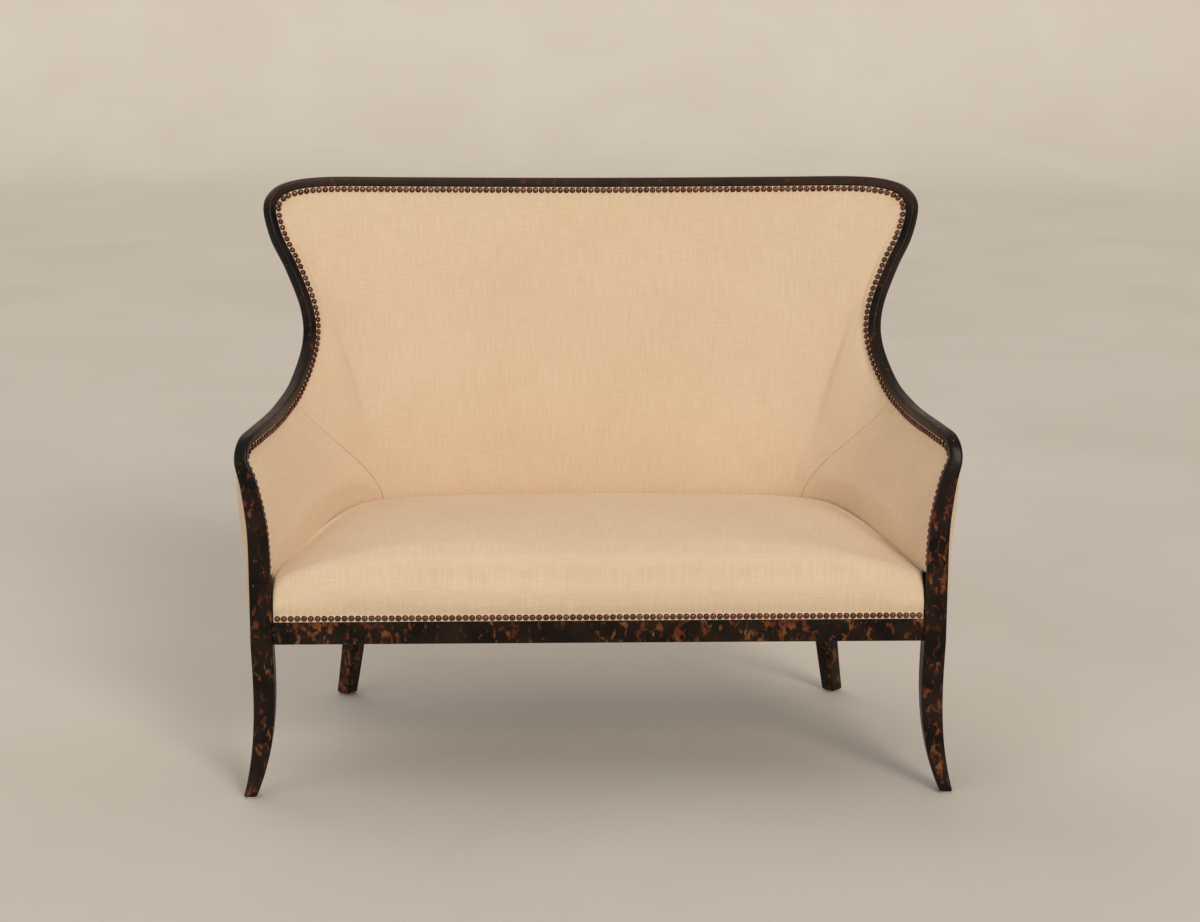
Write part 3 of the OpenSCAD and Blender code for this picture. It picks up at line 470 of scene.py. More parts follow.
def make_piece(
    name: str,
    points: np.ndarray,
    faces: Sequence[Sequence[int]],
    material: bpy.types.Material,
    nodes: Sequence[str] = (),
    weave: np.ndarray | None = None,
    sharp: float = 38.0,
    side: Side | None = None,
) -> bpy.types.Object:
    """Makes a mesh piece in the row frame, rides it on the body and dresses it.

    Args:
        name: the piece's name.
        points: its points in millimetres, in the maker's layout.
        faces: its faces.
        material: its finish.
        nodes: CAD nodes that it stands for.
        weave: where each point lies on the flat cloth, in metres. The underside of a slab lies as
            its face does.
        sharp: edges that turn by more degrees than this stay crisp.
        side: its side. The points are those of the right side, or of the whole.

    Returns:
        The new object.
    """
    mesh = bpy.data.meshes.new(name)
    if side is Side.LEFT:
        points = mirrored(points)
    placed = (np.asarray(points, float) + np.array([0.0, FACE_Y, 0.0])) * MM
    mesh.from_pydata([tuple(p) for p in placed], [], [tuple(f) for f in faces])
    work = bmesh.new()
    work.from_mesh(mesh)
    bmesh.ops.recalc_face_normals(work, faces=work.faces)
    work.to_mesh(mesh)
    work.free()
    mesh.polygons.foreach_set("use_smooth", [True] * len(mesh.polygons))
    mesh.set_sharp_from_angle(angle=math.radians(sharp))
    if weave is not None:
        layer, lay = mesh.uv_layers.new(name="weave"), weave.reshape(-1, 2)
        index = np.zeros(len(mesh.loops), np.int32)
        mesh.loops.foreach_get("vertex_index", index)
        layer.data.foreach_set("uv", lay[index % len(lay)].astype(np.float32).ravel())
    mesh.materials.append(material)
    piece = bpy.data.objects.new(name, mesh)
    bpy.context.scene.collection.objects.link(piece)
    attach(piece, BODY)
    if nodes:
        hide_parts(*nodes)
    LOG.info("%s: %d faces, for %s", name, len(mesh.polygons), ", ".join(nodes) or "no node")
    return piece


def subdivide(piece: bpy.types.Object) -> None:
    """Adds a smooth subdivision to a piece."""
    smoothing = piece.modifiers.new("soften", "SUBSURF")
    smoothing.levels = smoothing.render_levels = 1
    smoothing.uv_smooth = "PRESERVE_BOUNDARIES"


# ---------------------------------------------------------------- finishes


def linear(code: str) -> tuple[float, float, float, float]:
    """Linear colour of an sRGB hex code."""
    parts = [int(code[i : i + 2], 16) / 255 for i in (1, 3, 5)]
    made = [c / 12.92 if c <= 0.04045 else ((c + 0.055) / 1.055) ** 2.4 for c in parts]
    return (made[0], made[1], made[2], 1.0)


def wire(node: bpy.types.Node, inputs: dict[str | int, object]) -> None:
    """Sets a node's inputs: a socket or a node's first output is linked, a value is written in."""
    for key, value in inputs.items():
        if isinstance(value, bpy.types.Node):
            value = value.outputs[0]
        if isinstance(value, bpy.types.NodeSocket):
            node.id_data.links.new(value, node.inputs[key])
        else:
            node.inputs[key].default_value = value


def put(
    tree: bpy.types.NodeTree,
    kind: str,
    inputs: dict[str | int, object] | None = None,
    stops: Sequence[tuple[float, str]] = (),
    **settings: object,
) -> bpy.types.Node:
    """Adds a shader node with its settings, its inputs and the stops of its colour ramp.

    Args:
        tree: the node tree.
        kind: the node's type, without its prefix.
        inputs: for each input, a node or a socket to link, or a value.
        stops: places and hex colours of a ramp.
        settings: the node's own properties.

    Returns:
        The new node.
    """
    node = tree.nodes.new("ShaderNode" + kind)
    for name, value in settings.items():
        setattr(node, name, value)
    wire(node, inputs or {})
    for i, (place, code) in enumerate(stops):
        ramp = node.color_ramp.elements
        stop = ramp[i] if i < len(ramp) else ramp.new(place)
        stop.position, stop.color = place, linear(code)
    return node


def new_finish(
    name: str, **sockets: object
) -> tuple[bpy.types.Material, Callable[..., bpy.types.Node], bpy.types.Node]:
    """Makes an empty finish.

    Args:
        name: the real material's name.
        sockets: constant values of the surface shader's sockets, with _ for a space.

    Returns:
        The material, put() for its tree, and its surface shader.
    """
    material = bpy.data.materials.new(name)
    material.use_nodes = True
    shader = material.node_tree.nodes["Principled BSDF"]
    wire(shader, {key.replace("_", " "): value for key, value in sockets.items()})
    return material, partial(put, material.node_tree), shader


def per_metre(length_mm: float) -> float:
    """Pattern scale that repeats about once in a length."""
    return 1000.0 / length_mm


@dataclass(frozen=True)
class EbonisedWood:
    """Ebonised hardwood, stained near black, mottled with rust and amber, and rubbed to a satin."""

    ground: str = "#0C0805"
    warm: str = "#291B11"
    rust: str = "#683216"
    amber: str = "#855426"
    umber: str = "#3E2010"
    rubbed: str = "#5E4A3B"
    # Painted sheen: lighter brown laid over the top of the crest, for the light that it catches
    painted_sheen: str = "#45352A"
    fleck_mm: float = 11.5
    cluster_mm: float = 120.0
    tint_mm: float = 34.0
    cloud_mm: float = 60.0
    rub_mm: float = 9.0
    grit_mm: float = 3.5
    crowded_below: float = 0.40
    sparse_above: float = 0.62
    # Painted sheen: height where the top of the crest starts to be drawn lighter, and the rise over
    # which it comes in
    painted_sheen_above: float = 0.97
    painted_sheen_depth: float = 0.07

    def material(self) -> bpy.types.Material:
        """Material of the show wood."""
        made, add, shader = new_finish(
            "ebonised_mottled_hardwood", Specular_IOR_Level=0.13, Coat_Weight=0.045, Coat_Roughness=0.2
        )
        place = add("TexCoord").outputs["Object"]
        height = add("SeparateXYZ", {0: place}).outputs["Z"]
        # The stain ran a little before it dried, so the mottling is longer upwards than across
        run = add("Mapping", {"Vector": place, "Scale": (1.0, 1.0, 0.6)})
        fleck = add("TexNoise", {
            "Vector": run, "Scale": per_metre(self.fleck_mm), "Detail": 3.0, "Roughness": 0.62,
            "Distortion": 0.5,
        })
        cluster, tint, cloud, rub, grit = (
            add("TexNoise", {"Vector": place, "Scale": per_metre(size), "Detail": detail})
            for size, detail in (
                (self.cluster_mm, 1.0), (self.tint_mm, 2.0), (self.cloud_mm, 4.0), (self.rub_mm, 3.0),
                (self.grit_mm, 3.0),
            )
        )
        # The mottling is thick on the rail and the legs and thins out up the posts
        low = add("MapRange", {
            "Value": height, "From Min": self.crowded_below, "From Max": self.sparse_above,
            "To Min": 0.075, "To Max": 0.0,
        })
        swing = add("Math", {0: cluster, 1: 0.22, 2: -0.11}, operation="MULTIPLY_ADD")
        seen = add("Math", {0: fleck, 1: low}, operation="ADD")
        seen = add("Math", {0: seen, 1: swing}, operation="ADD")
        mask = add("MapRange", {"Value": seen, "From Min": 0.615, "From Max": 0.705, "To Max": 0.85})
        mottle = add("ValToRGB", {"Fac": tint}, stops=(
            (0.32, self.umber), (0.5, self.rust), (0.68, self.amber),
        ))
        # Painted sheen: the top of the crest is drawn in a lighter brown, for the light from overhead
        # that it catches
        painted_sheen = add("MapRange", {
            "Value": height, "From Min": self.painted_sheen_above,
            "From Max": self.painted_sheen_above + self.painted_sheen_depth, "To Max": 0.6,
        })
        # Arrises are rubbed through in broken patches where hands and shoes meet them
        edge = add("MapRange", {
            "Value": add("NewGeometry").outputs["Pointiness"], "From Min": 0.52, "From Max": 0.60,
        })
        patch = add("MapRange", {"Value": rub, "From Min": 0.56, "From Max": 0.66, "To Max": 0.55})
        worn = add("Math", {0: edge, 1: patch}, operation="MULTIPLY")
        colour = add("ValToRGB", {"Fac": cloud}, stops=((0.38, self.ground), (0.72, self.warm)))
        for share, over in ((painted_sheen, linear(self.painted_sheen)), (mask, mottle), (worn, linear(self.rubbed))):
            colour = add("Mix", {0: share, 6: colour, 7: over}, data_type="RGBA").outputs[2]
        gloss = add("MapRange", {
            "Value": cloud, "From Min": 0.3, "From Max": 0.7, "To Min": 0.30, "To Max": 0.46,
        })
        relief = add("Math", {0: mask, 1: 0.25, 2: grit}, operation="MULTIPLY_ADD")
        bump = add("Bump", {"Height": relief, "Strength": 0.22, "Distance": 0.0006})
        wire(shader, {"Base Color": colour, "Roughness": gloss, "Normal": bump})
        return made


@dataclass(frozen=True)
class SlubLinen:
    """Undyed linen, plain woven from uneven yarn, so short thick places streak it both ways."""

    yarn: str = "#E3CAAB"
    deep: str = "#DBC09E"
    pale: str = "#EAD4B8"
    slub: str = "#BC9F79"
    thread_mm: float = 1.5
    slub_mm: float = 38.0
    thick_mm: tuple[float, float] = (18.0, 2.2)
    upright_mm: tuple[float, float] = (3.5, 60.0)
    cloud_mm: float = 220.0
    coat: float = 0.18
    name: str = "slubbed_oatmeal_linen"

    def material(self) -> bpy.types.Material:
        """Material of the covers."""
        made, add, shader = new_finish(
            self.name, Roughness=0.88, IOR=1.5, Specular_IOR_Level=0.25,
            Sheen_Weight=self.coat, Sheen_Roughness=0.5,
        )
        place = add("UVMap", uv_map="weave")
        # Real yarn is about 0.7 mm thick; it is drawn at twice that so that the weave still shows
        streaks = (
            (self.slub_mm, self.thread_mm), (self.thread_mm, self.slub_mm * 1.5),
            self.thick_mm, self.upright_mm,
        )
        scales = [(per_metre(wide), per_metre(tall), 1.0) for wide, tall in streaks]
        drawn = [add("Mapping", {"Vector": place, "Scale": scale}) for scale in scales]
        weft, warp, thick, upright = (
            add("TexNoise", {"Vector": lay, "Scale": 1.0, "Detail": 2.0, "Roughness": 0.6})
            for lay in drawn
        )
        cloud = add("TexNoise", {"Vector": place, "Scale": per_metre(self.cloud_mm), "Detail": 2.0})
        grid = add("Math", {0: weft, 1: warp}, operation="ADD")
        tone = add("Math", {0: upright, 1: 0.35, 2: grid}, operation="MULTIPLY_ADD")
        tone = add("Math", {0: cloud, 1: 0.5, 2: tone}, operation="MULTIPLY_ADD")
        tone = add("MapRange", {"Value": tone, "From Min": 1.0, "From Max": 1.85})
        colour = add("ValToRGB", {"Fac": tone}, stops=(
            (0.05, self.deep), (0.5, self.yarn), (0.95, self.pale),
        ))
        dark = add("MapRange", {"Value": thick, "From Min": 0.68, "From Max": 0.82, "To Max": 0.30})
        colour = add("Mix", {0: dark, 6: colour, 7: linear(self.slub)}, data_type="RGBA").outputs[2]
        relief = add("Math", {0: thick, 1: 0.8, 2: grid}, operation="MULTIPLY_ADD")
        bump = add("Bump", {"Height": relief, "Strength": 0.35, "Distance": 0.0011})
        wire(shader, {"Base Color": colour, "Normal": bump})
        return made


@dataclass(frozen=True)
class CoarseWeave:
    """Coarse cloth of thick round yarn, such as jute hessian, webbing or black cambric."""

    name: str
    yarn: str
    gap: str
    thread_mm: float
    stripe: str | None = None
    stripe_mm: float = 44.0

    # A wave texture turns by twenty radians in a unit of its scale. The bands are drawn about six
    # times coarser than the yarn, so that they still show from below
    WAVES = 20

    def material(self) -> bpy.types.Material:
        """Material of a hidden or under-side cloth."""
        made, add, shader = new_finish(self.name, Roughness=0.95, Specular_IOR_Level=0.15)
        place = add("TexCoord").outputs["Object"]
        bands = [
            add("TexWave", {
                "Vector": place, "Scale": per_metre(self.thread_mm) / self.WAVES, "Distortion": 2.0,
                "Detail": 2.0, "Detail Scale": 1.5,
            }, bands_direction=way).outputs["Fac"]
            for way in ("X", "Y")
        ]
        weave = add("Math", {0: bands[0], 1: bands[1]}, operation="MAXIMUM")
        colour = add("ValToRGB", {"Fac": weave}, stops=((0.15, self.gap), (0.75, self.yarn)))
        if self.stripe:
            line = add("TexWave", {"Vector": place, "Scale": per_metre(self.stripe_mm) / self.WAVES})
            seen = add("Math", {0: line.outputs["Fac"], 1: 0.93}, operation="GREATER_THAN")
            layers = {0: seen, 6: colour, 7: linear(self.stripe)}
            colour = add("Mix", layers, data_type="RGBA").outputs[2]
        bump = add("Bump", {"Height": weave, "Strength": 0.5, "Distance": 0.0008})
        wire(shader, {"Base Color": colour, "Normal": bump})
        return made


@dataclass(frozen=True)
class AntiqueBronze:
    """Antique bronze-plated steel nails: pressed domes, dark in the hollows and rubbed on the crown."""

    crown: str = "#8E6150"
    ground: str = "#5C382B"
    patina: str = "#180A07"
    speck_mm: float = 2.5

    def material(self) -> bpy.types.Material:
        """Material of the nail heads, which tells one from the next by its tone attribute."""
        made, add, shader = new_finish("antique_bronze_nail", Metallic=1.0)
        dome, tone = (add("Attribute", attribute_name=name).outputs["Fac"] for name in ("dome", "tone"))
        place = add("TexCoord").outputs["Object"]
        speck = add("TexNoise", {"Vector": place, "Scale": per_metre(self.speck_mm), "Detail": 3.0})
        rim = add("Math", {0: speck, 1: 0.35, 2: dome}, operation="MULTIPLY_ADD")
        rim = add("MapRange", {"Value": rim, "From Min": 0.55, "From Max": 1.1})
        metal = add("Mix", {0: tone, 6: linear(self.ground), 7: linear(self.crown)}, data_type="RGBA")
        colour = add("Mix", {0: rim, 6: linear(self.patina), 7: metal.outputs[2]}, data_type="RGBA")
        gloss = add("MapRange", {"Value": speck, "To Min": 0.2, "To Max": 0.42})
        wire(shader, {"Base Color": colour.outputs[2], "Roughness": gloss})
        return made


@dataclass(frozen=True)
class PlainFinish:
    """Plain material with a grain or grit of a real size: beech, foam, wadding, nylon or zinc."""

    name: str
    light: str
    dark: str
    grain_mm: tuple[float, float, float]
    roughness: float
    metallic: float = 0.0
    relief_mm: float = 0.3

    def material(self) -> bpy.types.Material:
        """Material with its two tones mixed by a grain drawn out along the longest way."""
        made, add, shader = new_finish(self.name, Roughness=self.roughness, Metallic=self.metallic)
        place = add("TexCoord").outputs["Object"]
        drawn = add("Mapping", {"Vector": place, "Scale": tuple(per_metre(g) for g in self.grain_mm)})
        grain = add("TexNoise", {"Vector": drawn, "Scale": 1.0, "Detail": 4.0, "Distortion": 0.6})
        colour = add("ValToRGB", {"Fac": grain}, stops=((0.3, self.dark), (0.68, self.light)))
        bump = add("Bump", {"Height": grain, "Strength": 0.3, "Distance": self.relief_mm * MM})
        wire(shader, {"Base Color": colour, "Normal": bump})
        return made


@dataclass
class Finishes:
    """All finishes of the settee, made once."""

    show_wood: bpy.types.Material = field(init=False)
    linen: bpy.types.Material = field(init=False)
    bronze: bpy.types.Material = field(init=False)
    hidden: dict[str, bpy.types.Material] = field(init=False)

    HIDDEN = {
        # Sawn beech: pale pinkish brown, with short fine grain
        "frame_timber": PlainFinish("sawn_beech", "#D9BC93", "#B98F62", (90, 7, 7), 0.7),
        # Cut polyurethane foam: yellowed, with open cells
        "foam": PlainFinish("cut_foam", "#EFE3B8", "#D8C68F", (3, 3, 3), 0.95),
        # Carded wadding: white and cloudy
        "wadding": PlainFinish("carded_wadding", "#F4F1EA", "#DAD5CA", (25, 25, 25), 1.0),
        "hessian": CoarseWeave("jute_hessian", "#B18E5C", "#5E4423", 2.4),
        "webbing": CoarseWeave("jute_webbing", "#BC9A68", "#7A5C35", 2.0, stripe="#3B2C1E"),
        "dust_cloth": CoarseWeave("black_cambric", "#1C1B1D", "#0C0C0D", 1.2),
        # Zinc-plated steel: bluish grey and lightly spangled
        "screw_steel": PlainFinish(
            "zinc_plated_steel", "#B9BDC4", "#8F949C", (4, 4, 4), 0.35, 1.0, 0.05
        ),
        # Moulded nylon: off-white and faintly waxy
        "glide_plastic": PlainFinish(
            "moulded_nylon", "#E4E1D8", "#D2CEC2", (12, 12, 12), 0.45, 0.0, 0.05
        ),
    }

    def __post_init__(self) -> None:
        """Makes the finishes."""
        self.show_wood = EbonisedWood().material()
        self.linen = SlubLinen().material()
        self.bronze = AntiqueBronze().material()
        self.hidden = {slot: finish.material() for slot, finish in self.HIDDEN.items()}


# ---------------------------------------------------------------- show wood


def plain_outline(w: float, d: float) -> list[tuple[float, float]]:
    """Outline of a member w wide and d deep, with its face barely crowned."""
    return [
        (0, 0), (w / 2, -0.8), (w, 0), (w, d / 2), (w, d * 0.75), (w, d), (0, d), (0, d * 0.75),
        (0, d / 2),
    ]


@dataclass
class ShowFrame:
    """The wood that shows: one swept moulding from foot to foot, the front rail and the rear legs."""

    finish: Finishes
    pace: float = 0.08
    arris: float = 4.0

    def section(self, t: float) -> np.ndarray:
        """Outline of the moulding across its curve, from plain on the leg to rebated above the rail."""
        w, half = LINE.face(t), LINE.half(t)
        d = flowing(half, ((2, S.post_depth), (5, S.mould_depth)))
        k_in, k_out = smooth((half - REBATE_AT) / 0.25), smooth(half / 0.15)
        side, tongue = S.mould_side, w - S.rebate_in
        cut = np.array([
            (0, 0), (w / 2, -0.8), (w, 0), (w, side), (tongue, side), (tongue - S.draft, d),
            (S.rebate_out + S.draft, d), (S.rebate_out, side - 2), (0, side - 2),
        ])
        shares = np.array([0, 0, 0, k_in, k_in, k_in, k_out, k_out, k_out])[:, None]
        tight = zip((2.0, 0.6, 0.8, 0.8, 0.6, 2.0), (k_in, k_in, k_in, k_out, k_out, k_out))
        radii = [self.arris, w / 5, self.arris] + [mix(3.0, radius, k) for radius, k in tight]
        return rounded(mix(np.array(plain_outline(w, d)), cut, shares), radii)

    def ring(self, t: float) -> np.ndarray:
        """Ring of points of the moulding at place t."""
        return np.array([LINE.point(t, b, n) for b, n in self.section(t)])

    def leg_ring(self, k: float) -> np.ndarray:
        """Ring of the front leg, from the rail at 0 to the floor at 1."""
        x = S.half_post - 12 * k + (S.foot_flare + 12) * k**3
        y = -S.post_proud - S.foot_kick * k**2.5
        z = mix(S.rail_bottom, S.glide_h, k)
        w = mix(S.post_face, S.foot_w, k**3)
        d = mix(S.post_depth, S.foot_w + 3, k**1.6)
        radii = [self.arris, w / 5, self.arris] + [3.0] * 6
        shape = rounded(np.array(plain_outline(w, d)), [min(r, w / 4) for r in radii])
        return np.array([(x - b, y + n, z) for b, n in shape])

    @staticmethod
    def eased_foot(rings: list[np.ndarray], inset: float = 1.6) -> list[np.ndarray]:
        """Rings with the first one drawn in, so that the foot's bottom edge is eased."""
        first = rings[0].copy()
        middle = first.mean(0)
        flat = first - middle
        shrunk = middle + flat * (1 - inset / np.abs(flat[:, :2]).max())
        shrunk[:, 2] = first[:, 2]
        raised = mix(rings[0], rings[1], min(1.0, 2.0 / max(rings[1][0, 2] - rings[0][0, 2], 1e-6)))
        return [shrunk, raised, *rings[1:]]

    def member(self, name: str, rings: list[np.ndarray], side: Side | None) -> None:
        """One member of the frame, mirrored to its side, which stands for the node of its name."""
        node = f"{side.word}_{name}" if side else name
        piece = node.replace("_rail", "_moulding").replace("_leg_post", "_post").replace("rear", "back")
        self.wooden(piece, rings, node, side)

    def wooden(self, piece: str, rings: list[np.ndarray], node: str, side: Side | None = None) -> None:
        """Piece of show wood through rings."""
        points, faces = ring_skin(np.array(rings))
        wood = self.finish.show_wood
        make_piece(piece, points, faces, wood, (node,), sharp=50, side=side)

    def swept(self, start: float, stop: float) -> list[np.ndarray]:
        """Rings of the moulding between two places of the curve."""
        return [self.ring(t) for t in steps(start, stop, max(4, round((stop - start) / self.pace)))]

    def rear_leg(self, side: Side) -> None:
        """Rear leg set diagonally under the corner, kicked out and back."""
        x, y = S.corner_x - 35, S.back_y - 28

        def plan(k: float, z: float, size: float) -> np.ndarray:
            r, kick = size / math.sqrt(2), S.rear_kick * max(k, 0) ** 1.4
            shape = rounded(np.array([(r, 0), (0, r), (-r, 0), (0, -r)]), [5.0] * 4)
            return np.array([(x + kick + px, y + kick + py, z) for px, py in shape])

        rings = [
            plan(k, mix(S.rail_bottom, S.glide_h, k), mix(S.rear_leg_top, S.rear_leg_foot, k**0.9))
            for k in steps(1, 0, 22)
        ]
        rings = self.eased_foot(rings) + [plan(0, S.rail_top, S.rear_leg_top)]
        self.member("rear_leg", rings, side)

    def front_rail(self) -> None:
        """Front rail with its eased lower arris and the small step that carries the cover."""
        half = S.half_post - S.post_face - 0.15
        z0, z1, z2, back, lip = S.rail_bottom, S.face_top, S.rail_top, S.rail_t + 2, 2.6
        shape = rounded(np.array([
            (0, z0), (0, z1), (lip, z1), (lip, z2), (back, z2), (back, z0),
        ]), [3.0, 1.6, 0.6, 1.5, 2.0, 3.0])
        rings = [np.array([(px, py, pz) for py, pz in shape]) for px in steps(-half, half, 60)]
        self.wooden("front_rail", rings, "front_seat_rail")

    def build(self) -> None:
        """Makes every member of the show frame."""
        for side in SIDES:
            leg = self.eased_foot([self.leg_ring(k) for k in steps(1, 0.02, 34)])
            self.member("front_leg_post", leg + self.swept(0.0, ARM_JOINT), side)
            self.member("arm_rail", self.swept(ARM_JOINT, WING_JOINT), side)
            self.member("wing_rail", self.swept(WING_JOINT, CREST_JOINT), side)
            self.rear_leg(side)
        self.member("crest_rail", self.swept(CREST_JOINT, 2 * LINE.mid - CREST_JOINT), None)
        self.front_rail()


# ---------------------------------------------------------------- covers


def loose(grid: np.ndarray, head: int, foot: int = 4) -> np.ndarray:
    """How free each point of a cover is: 0 in its head and foot rows and end columns, else 1."""
    free = np.ones(grid.shape[:2])
    free[:, :head] = free[:, -foot:] = 0.0
    free[:1] = free[-1:] = 0.0
    return free


def pull_tight(
    name: str, top: np.ndarray, free: np.ndarray, outward: np.ndarray, cap: float, frames: int = 20
) -> np.ndarray:
    """Cloth simulation of a nailed cover: its held edges stay and the rest swells and settles.

    Args:
        name: the cover's name.
        top: its grid of points in millimetres.
        free: how free each point is, from 0 to 1.
        outward: a direction that the cover faces.
        cap: how far a point may move, in millimetres.
        frames: how long the cloth settles.
    """
    held = 1.0 - free
    held[:2] = held[-2:] = 1.0
    nu, nv = top.shape[:2]
    faces = [
        (p, p + 1, p + nv + 1, p + nv) for i in range(nu - 1) for p in range(i * nv, i * nv + nv - 1)
    ]
    middle, beside, below = (top[nu // 2 + i, nv // 2 + j] for i, j in ((0, 0), (1, 0), (0, 1)))
    if np.cross(below - middle, beside - middle).dot(outward) < 0:
        faces = [f[::-1] for f in faces]
    mesh = bpy.data.meshes.new(name + "_try")
    mesh.from_pydata([tuple(p) for p in top.reshape(-1, 3) * MM], [], faces)
    piece = bpy.data.objects.new(name + "_try", mesh)
    scene = bpy.context.scene
    scene.collection.objects.link(piece)
    group = piece.vertex_groups.new(name="held")
    for i, share in enumerate(held.ravel()):
        if share > 0:
            group.add([i], float(share), "REPLACE")
    cloth = piece.modifiers.new("cloth", "CLOTH")
    rules = cloth.settings
    rules.quality, rules.mass = 6, 0.35
    rules.tension_stiffness = rules.compression_stiffness = 22.0
    rules.shear_stiffness, rules.bending_stiffness = 12.0, 3.0
    rules.vertex_group_mass = "held"
    rules.use_pressure, rules.uniform_pressure_force = True, 4.0
    rules.effector_weights.gravity = 0.0
    cloth.point_cache.frame_start, cloth.point_cache.frame_end = 1, frames
    for number in range(1, frames + 1):
        scene.frame_set(number)
    shown = piece.evaluated_get(bpy.context.evaluated_depsgraph_get())
    moved = np.zeros(nu * nv * 3, np.float32)
    shown.data.vertices.foreach_get("co", moved)
    bpy.data.objects.remove(piece)
    bpy.data.meshes.remove(mesh)
    scene.frame_set(1)
    shift = moved.astype(float).reshape(top.shape) / MM - top
    size = np.linalg.norm(shift, axis=2, keepdims=True)
    LOG.info("%s: moved %.1f mm at most, %.1f mm on average", name, size.max(), size.mean())
    return top + shift * np.minimum(1.0, cap / np.maximum(size, 1e-6))


def bent(grid: np.ndarray) -> np.ndarray:
    """How far each point of a grid is from the middle of its neighbours, zero at the rim."""
    off = np.zeros_like(grid)
    near = grid[:-2, 1:-1] + grid[2:, 1:-1] + grid[1:-1, :-2] + grid[1:-1, 2:]
    off[1:-1, 1:-1] = near / 4 - grid[1:-1, 1:-1]
    return off


def fair(grid: np.ndarray, rounds: int, free: np.ndarray) -> np.ndarray:
    """Grid eased like a thin plate: its bends spread out, and its held points stay.

    Args:
        grid: the points.
        rounds: how many steps it takes.
        free: how free each point is, from 0 to 1.

    Returns:
        The eased grid.
    """
    made = grid.copy()
    for _ in range(rounds):
        made -= 0.4 * free[:, :, None] * bent(bent(made))
    return made


def evened(grid: np.ndarray) -> np.ndarray:
    """Grid with its free points slid along their rows, so that columns don't bunch in a hollow."""
    run = np.linalg.norm(np.diff(grid, axis=0), axis=2)
    share = np.concatenate([np.zeros((1, grid.shape[1])), np.cumsum(run, axis=0)])
    share /= share[-1]
    made, rows = grid.copy(), grid.shape[1]
    for j in range(5, rows - 4):
        want = mix(share[:, 4], share[:, -4], smooth((j - 4) / (rows - 8)))
        for axis in range(3):
            made[:, j, axis] = np.interp(want, share[:, j], grid[:, j, axis])
    return made


def flat_lay(grid: np.ndarray) -> np.ndarray:
    """Where each point of a standing cover lies on its flat cloth, in metres: across and up."""
    run = np.linalg.norm(np.diff(grid[:, :, :2], axis=0), axis=2)
    across = np.concatenate([np.zeros((1, grid.shape[1])), np.cumsum(run, axis=0)])
    across -= across[len(across) // 2][None, :]
    return np.stack([across, grid[:, :, 2]], axis=2) * MM


SEAT_LINE = MirroredCurve(np.array([
    (S.half_post - S.post_face - 1, S.post_back + 6, S.seat_line_h - 30),
    (0.85 * S.half_post, 0.4 * S.waist_depth, S.seat_line_h - 4),
    (0.755 * S.half_post, 0.824 * S.waist_depth, S.seat_line_h + 6),
    (0.645 * S.half_post, mix(S.waist_depth, S.frame_depth, 0.026), S.seat_line_h + 6),
    (0.457 * S.half_post, mix(S.waist_depth, S.frame_depth, 0.251), S.seat_line_h + 3),
    (0.226 * S.half_post, mix(S.waist_depth, S.frame_depth, 0.374), S.seat_line_h),
    (0, mix(S.waist_depth, S.frame_depth, 0.415), S.seat_line_h),
], float))


def line_out(s: float) -> np.ndarray:
    """Level direction from the inside covers towards the sitter, at place s of the seat line."""
    if s > SEAT_LINE.end:
        return mirrored(line_out(2 * SEAT_LINE.end - s))
    d = SEAT_LINE.at(s + 0.02) - SEAT_LINE.at(s - 0.02)
    return unit(np.array([-d[1], d[0], 0.0]))


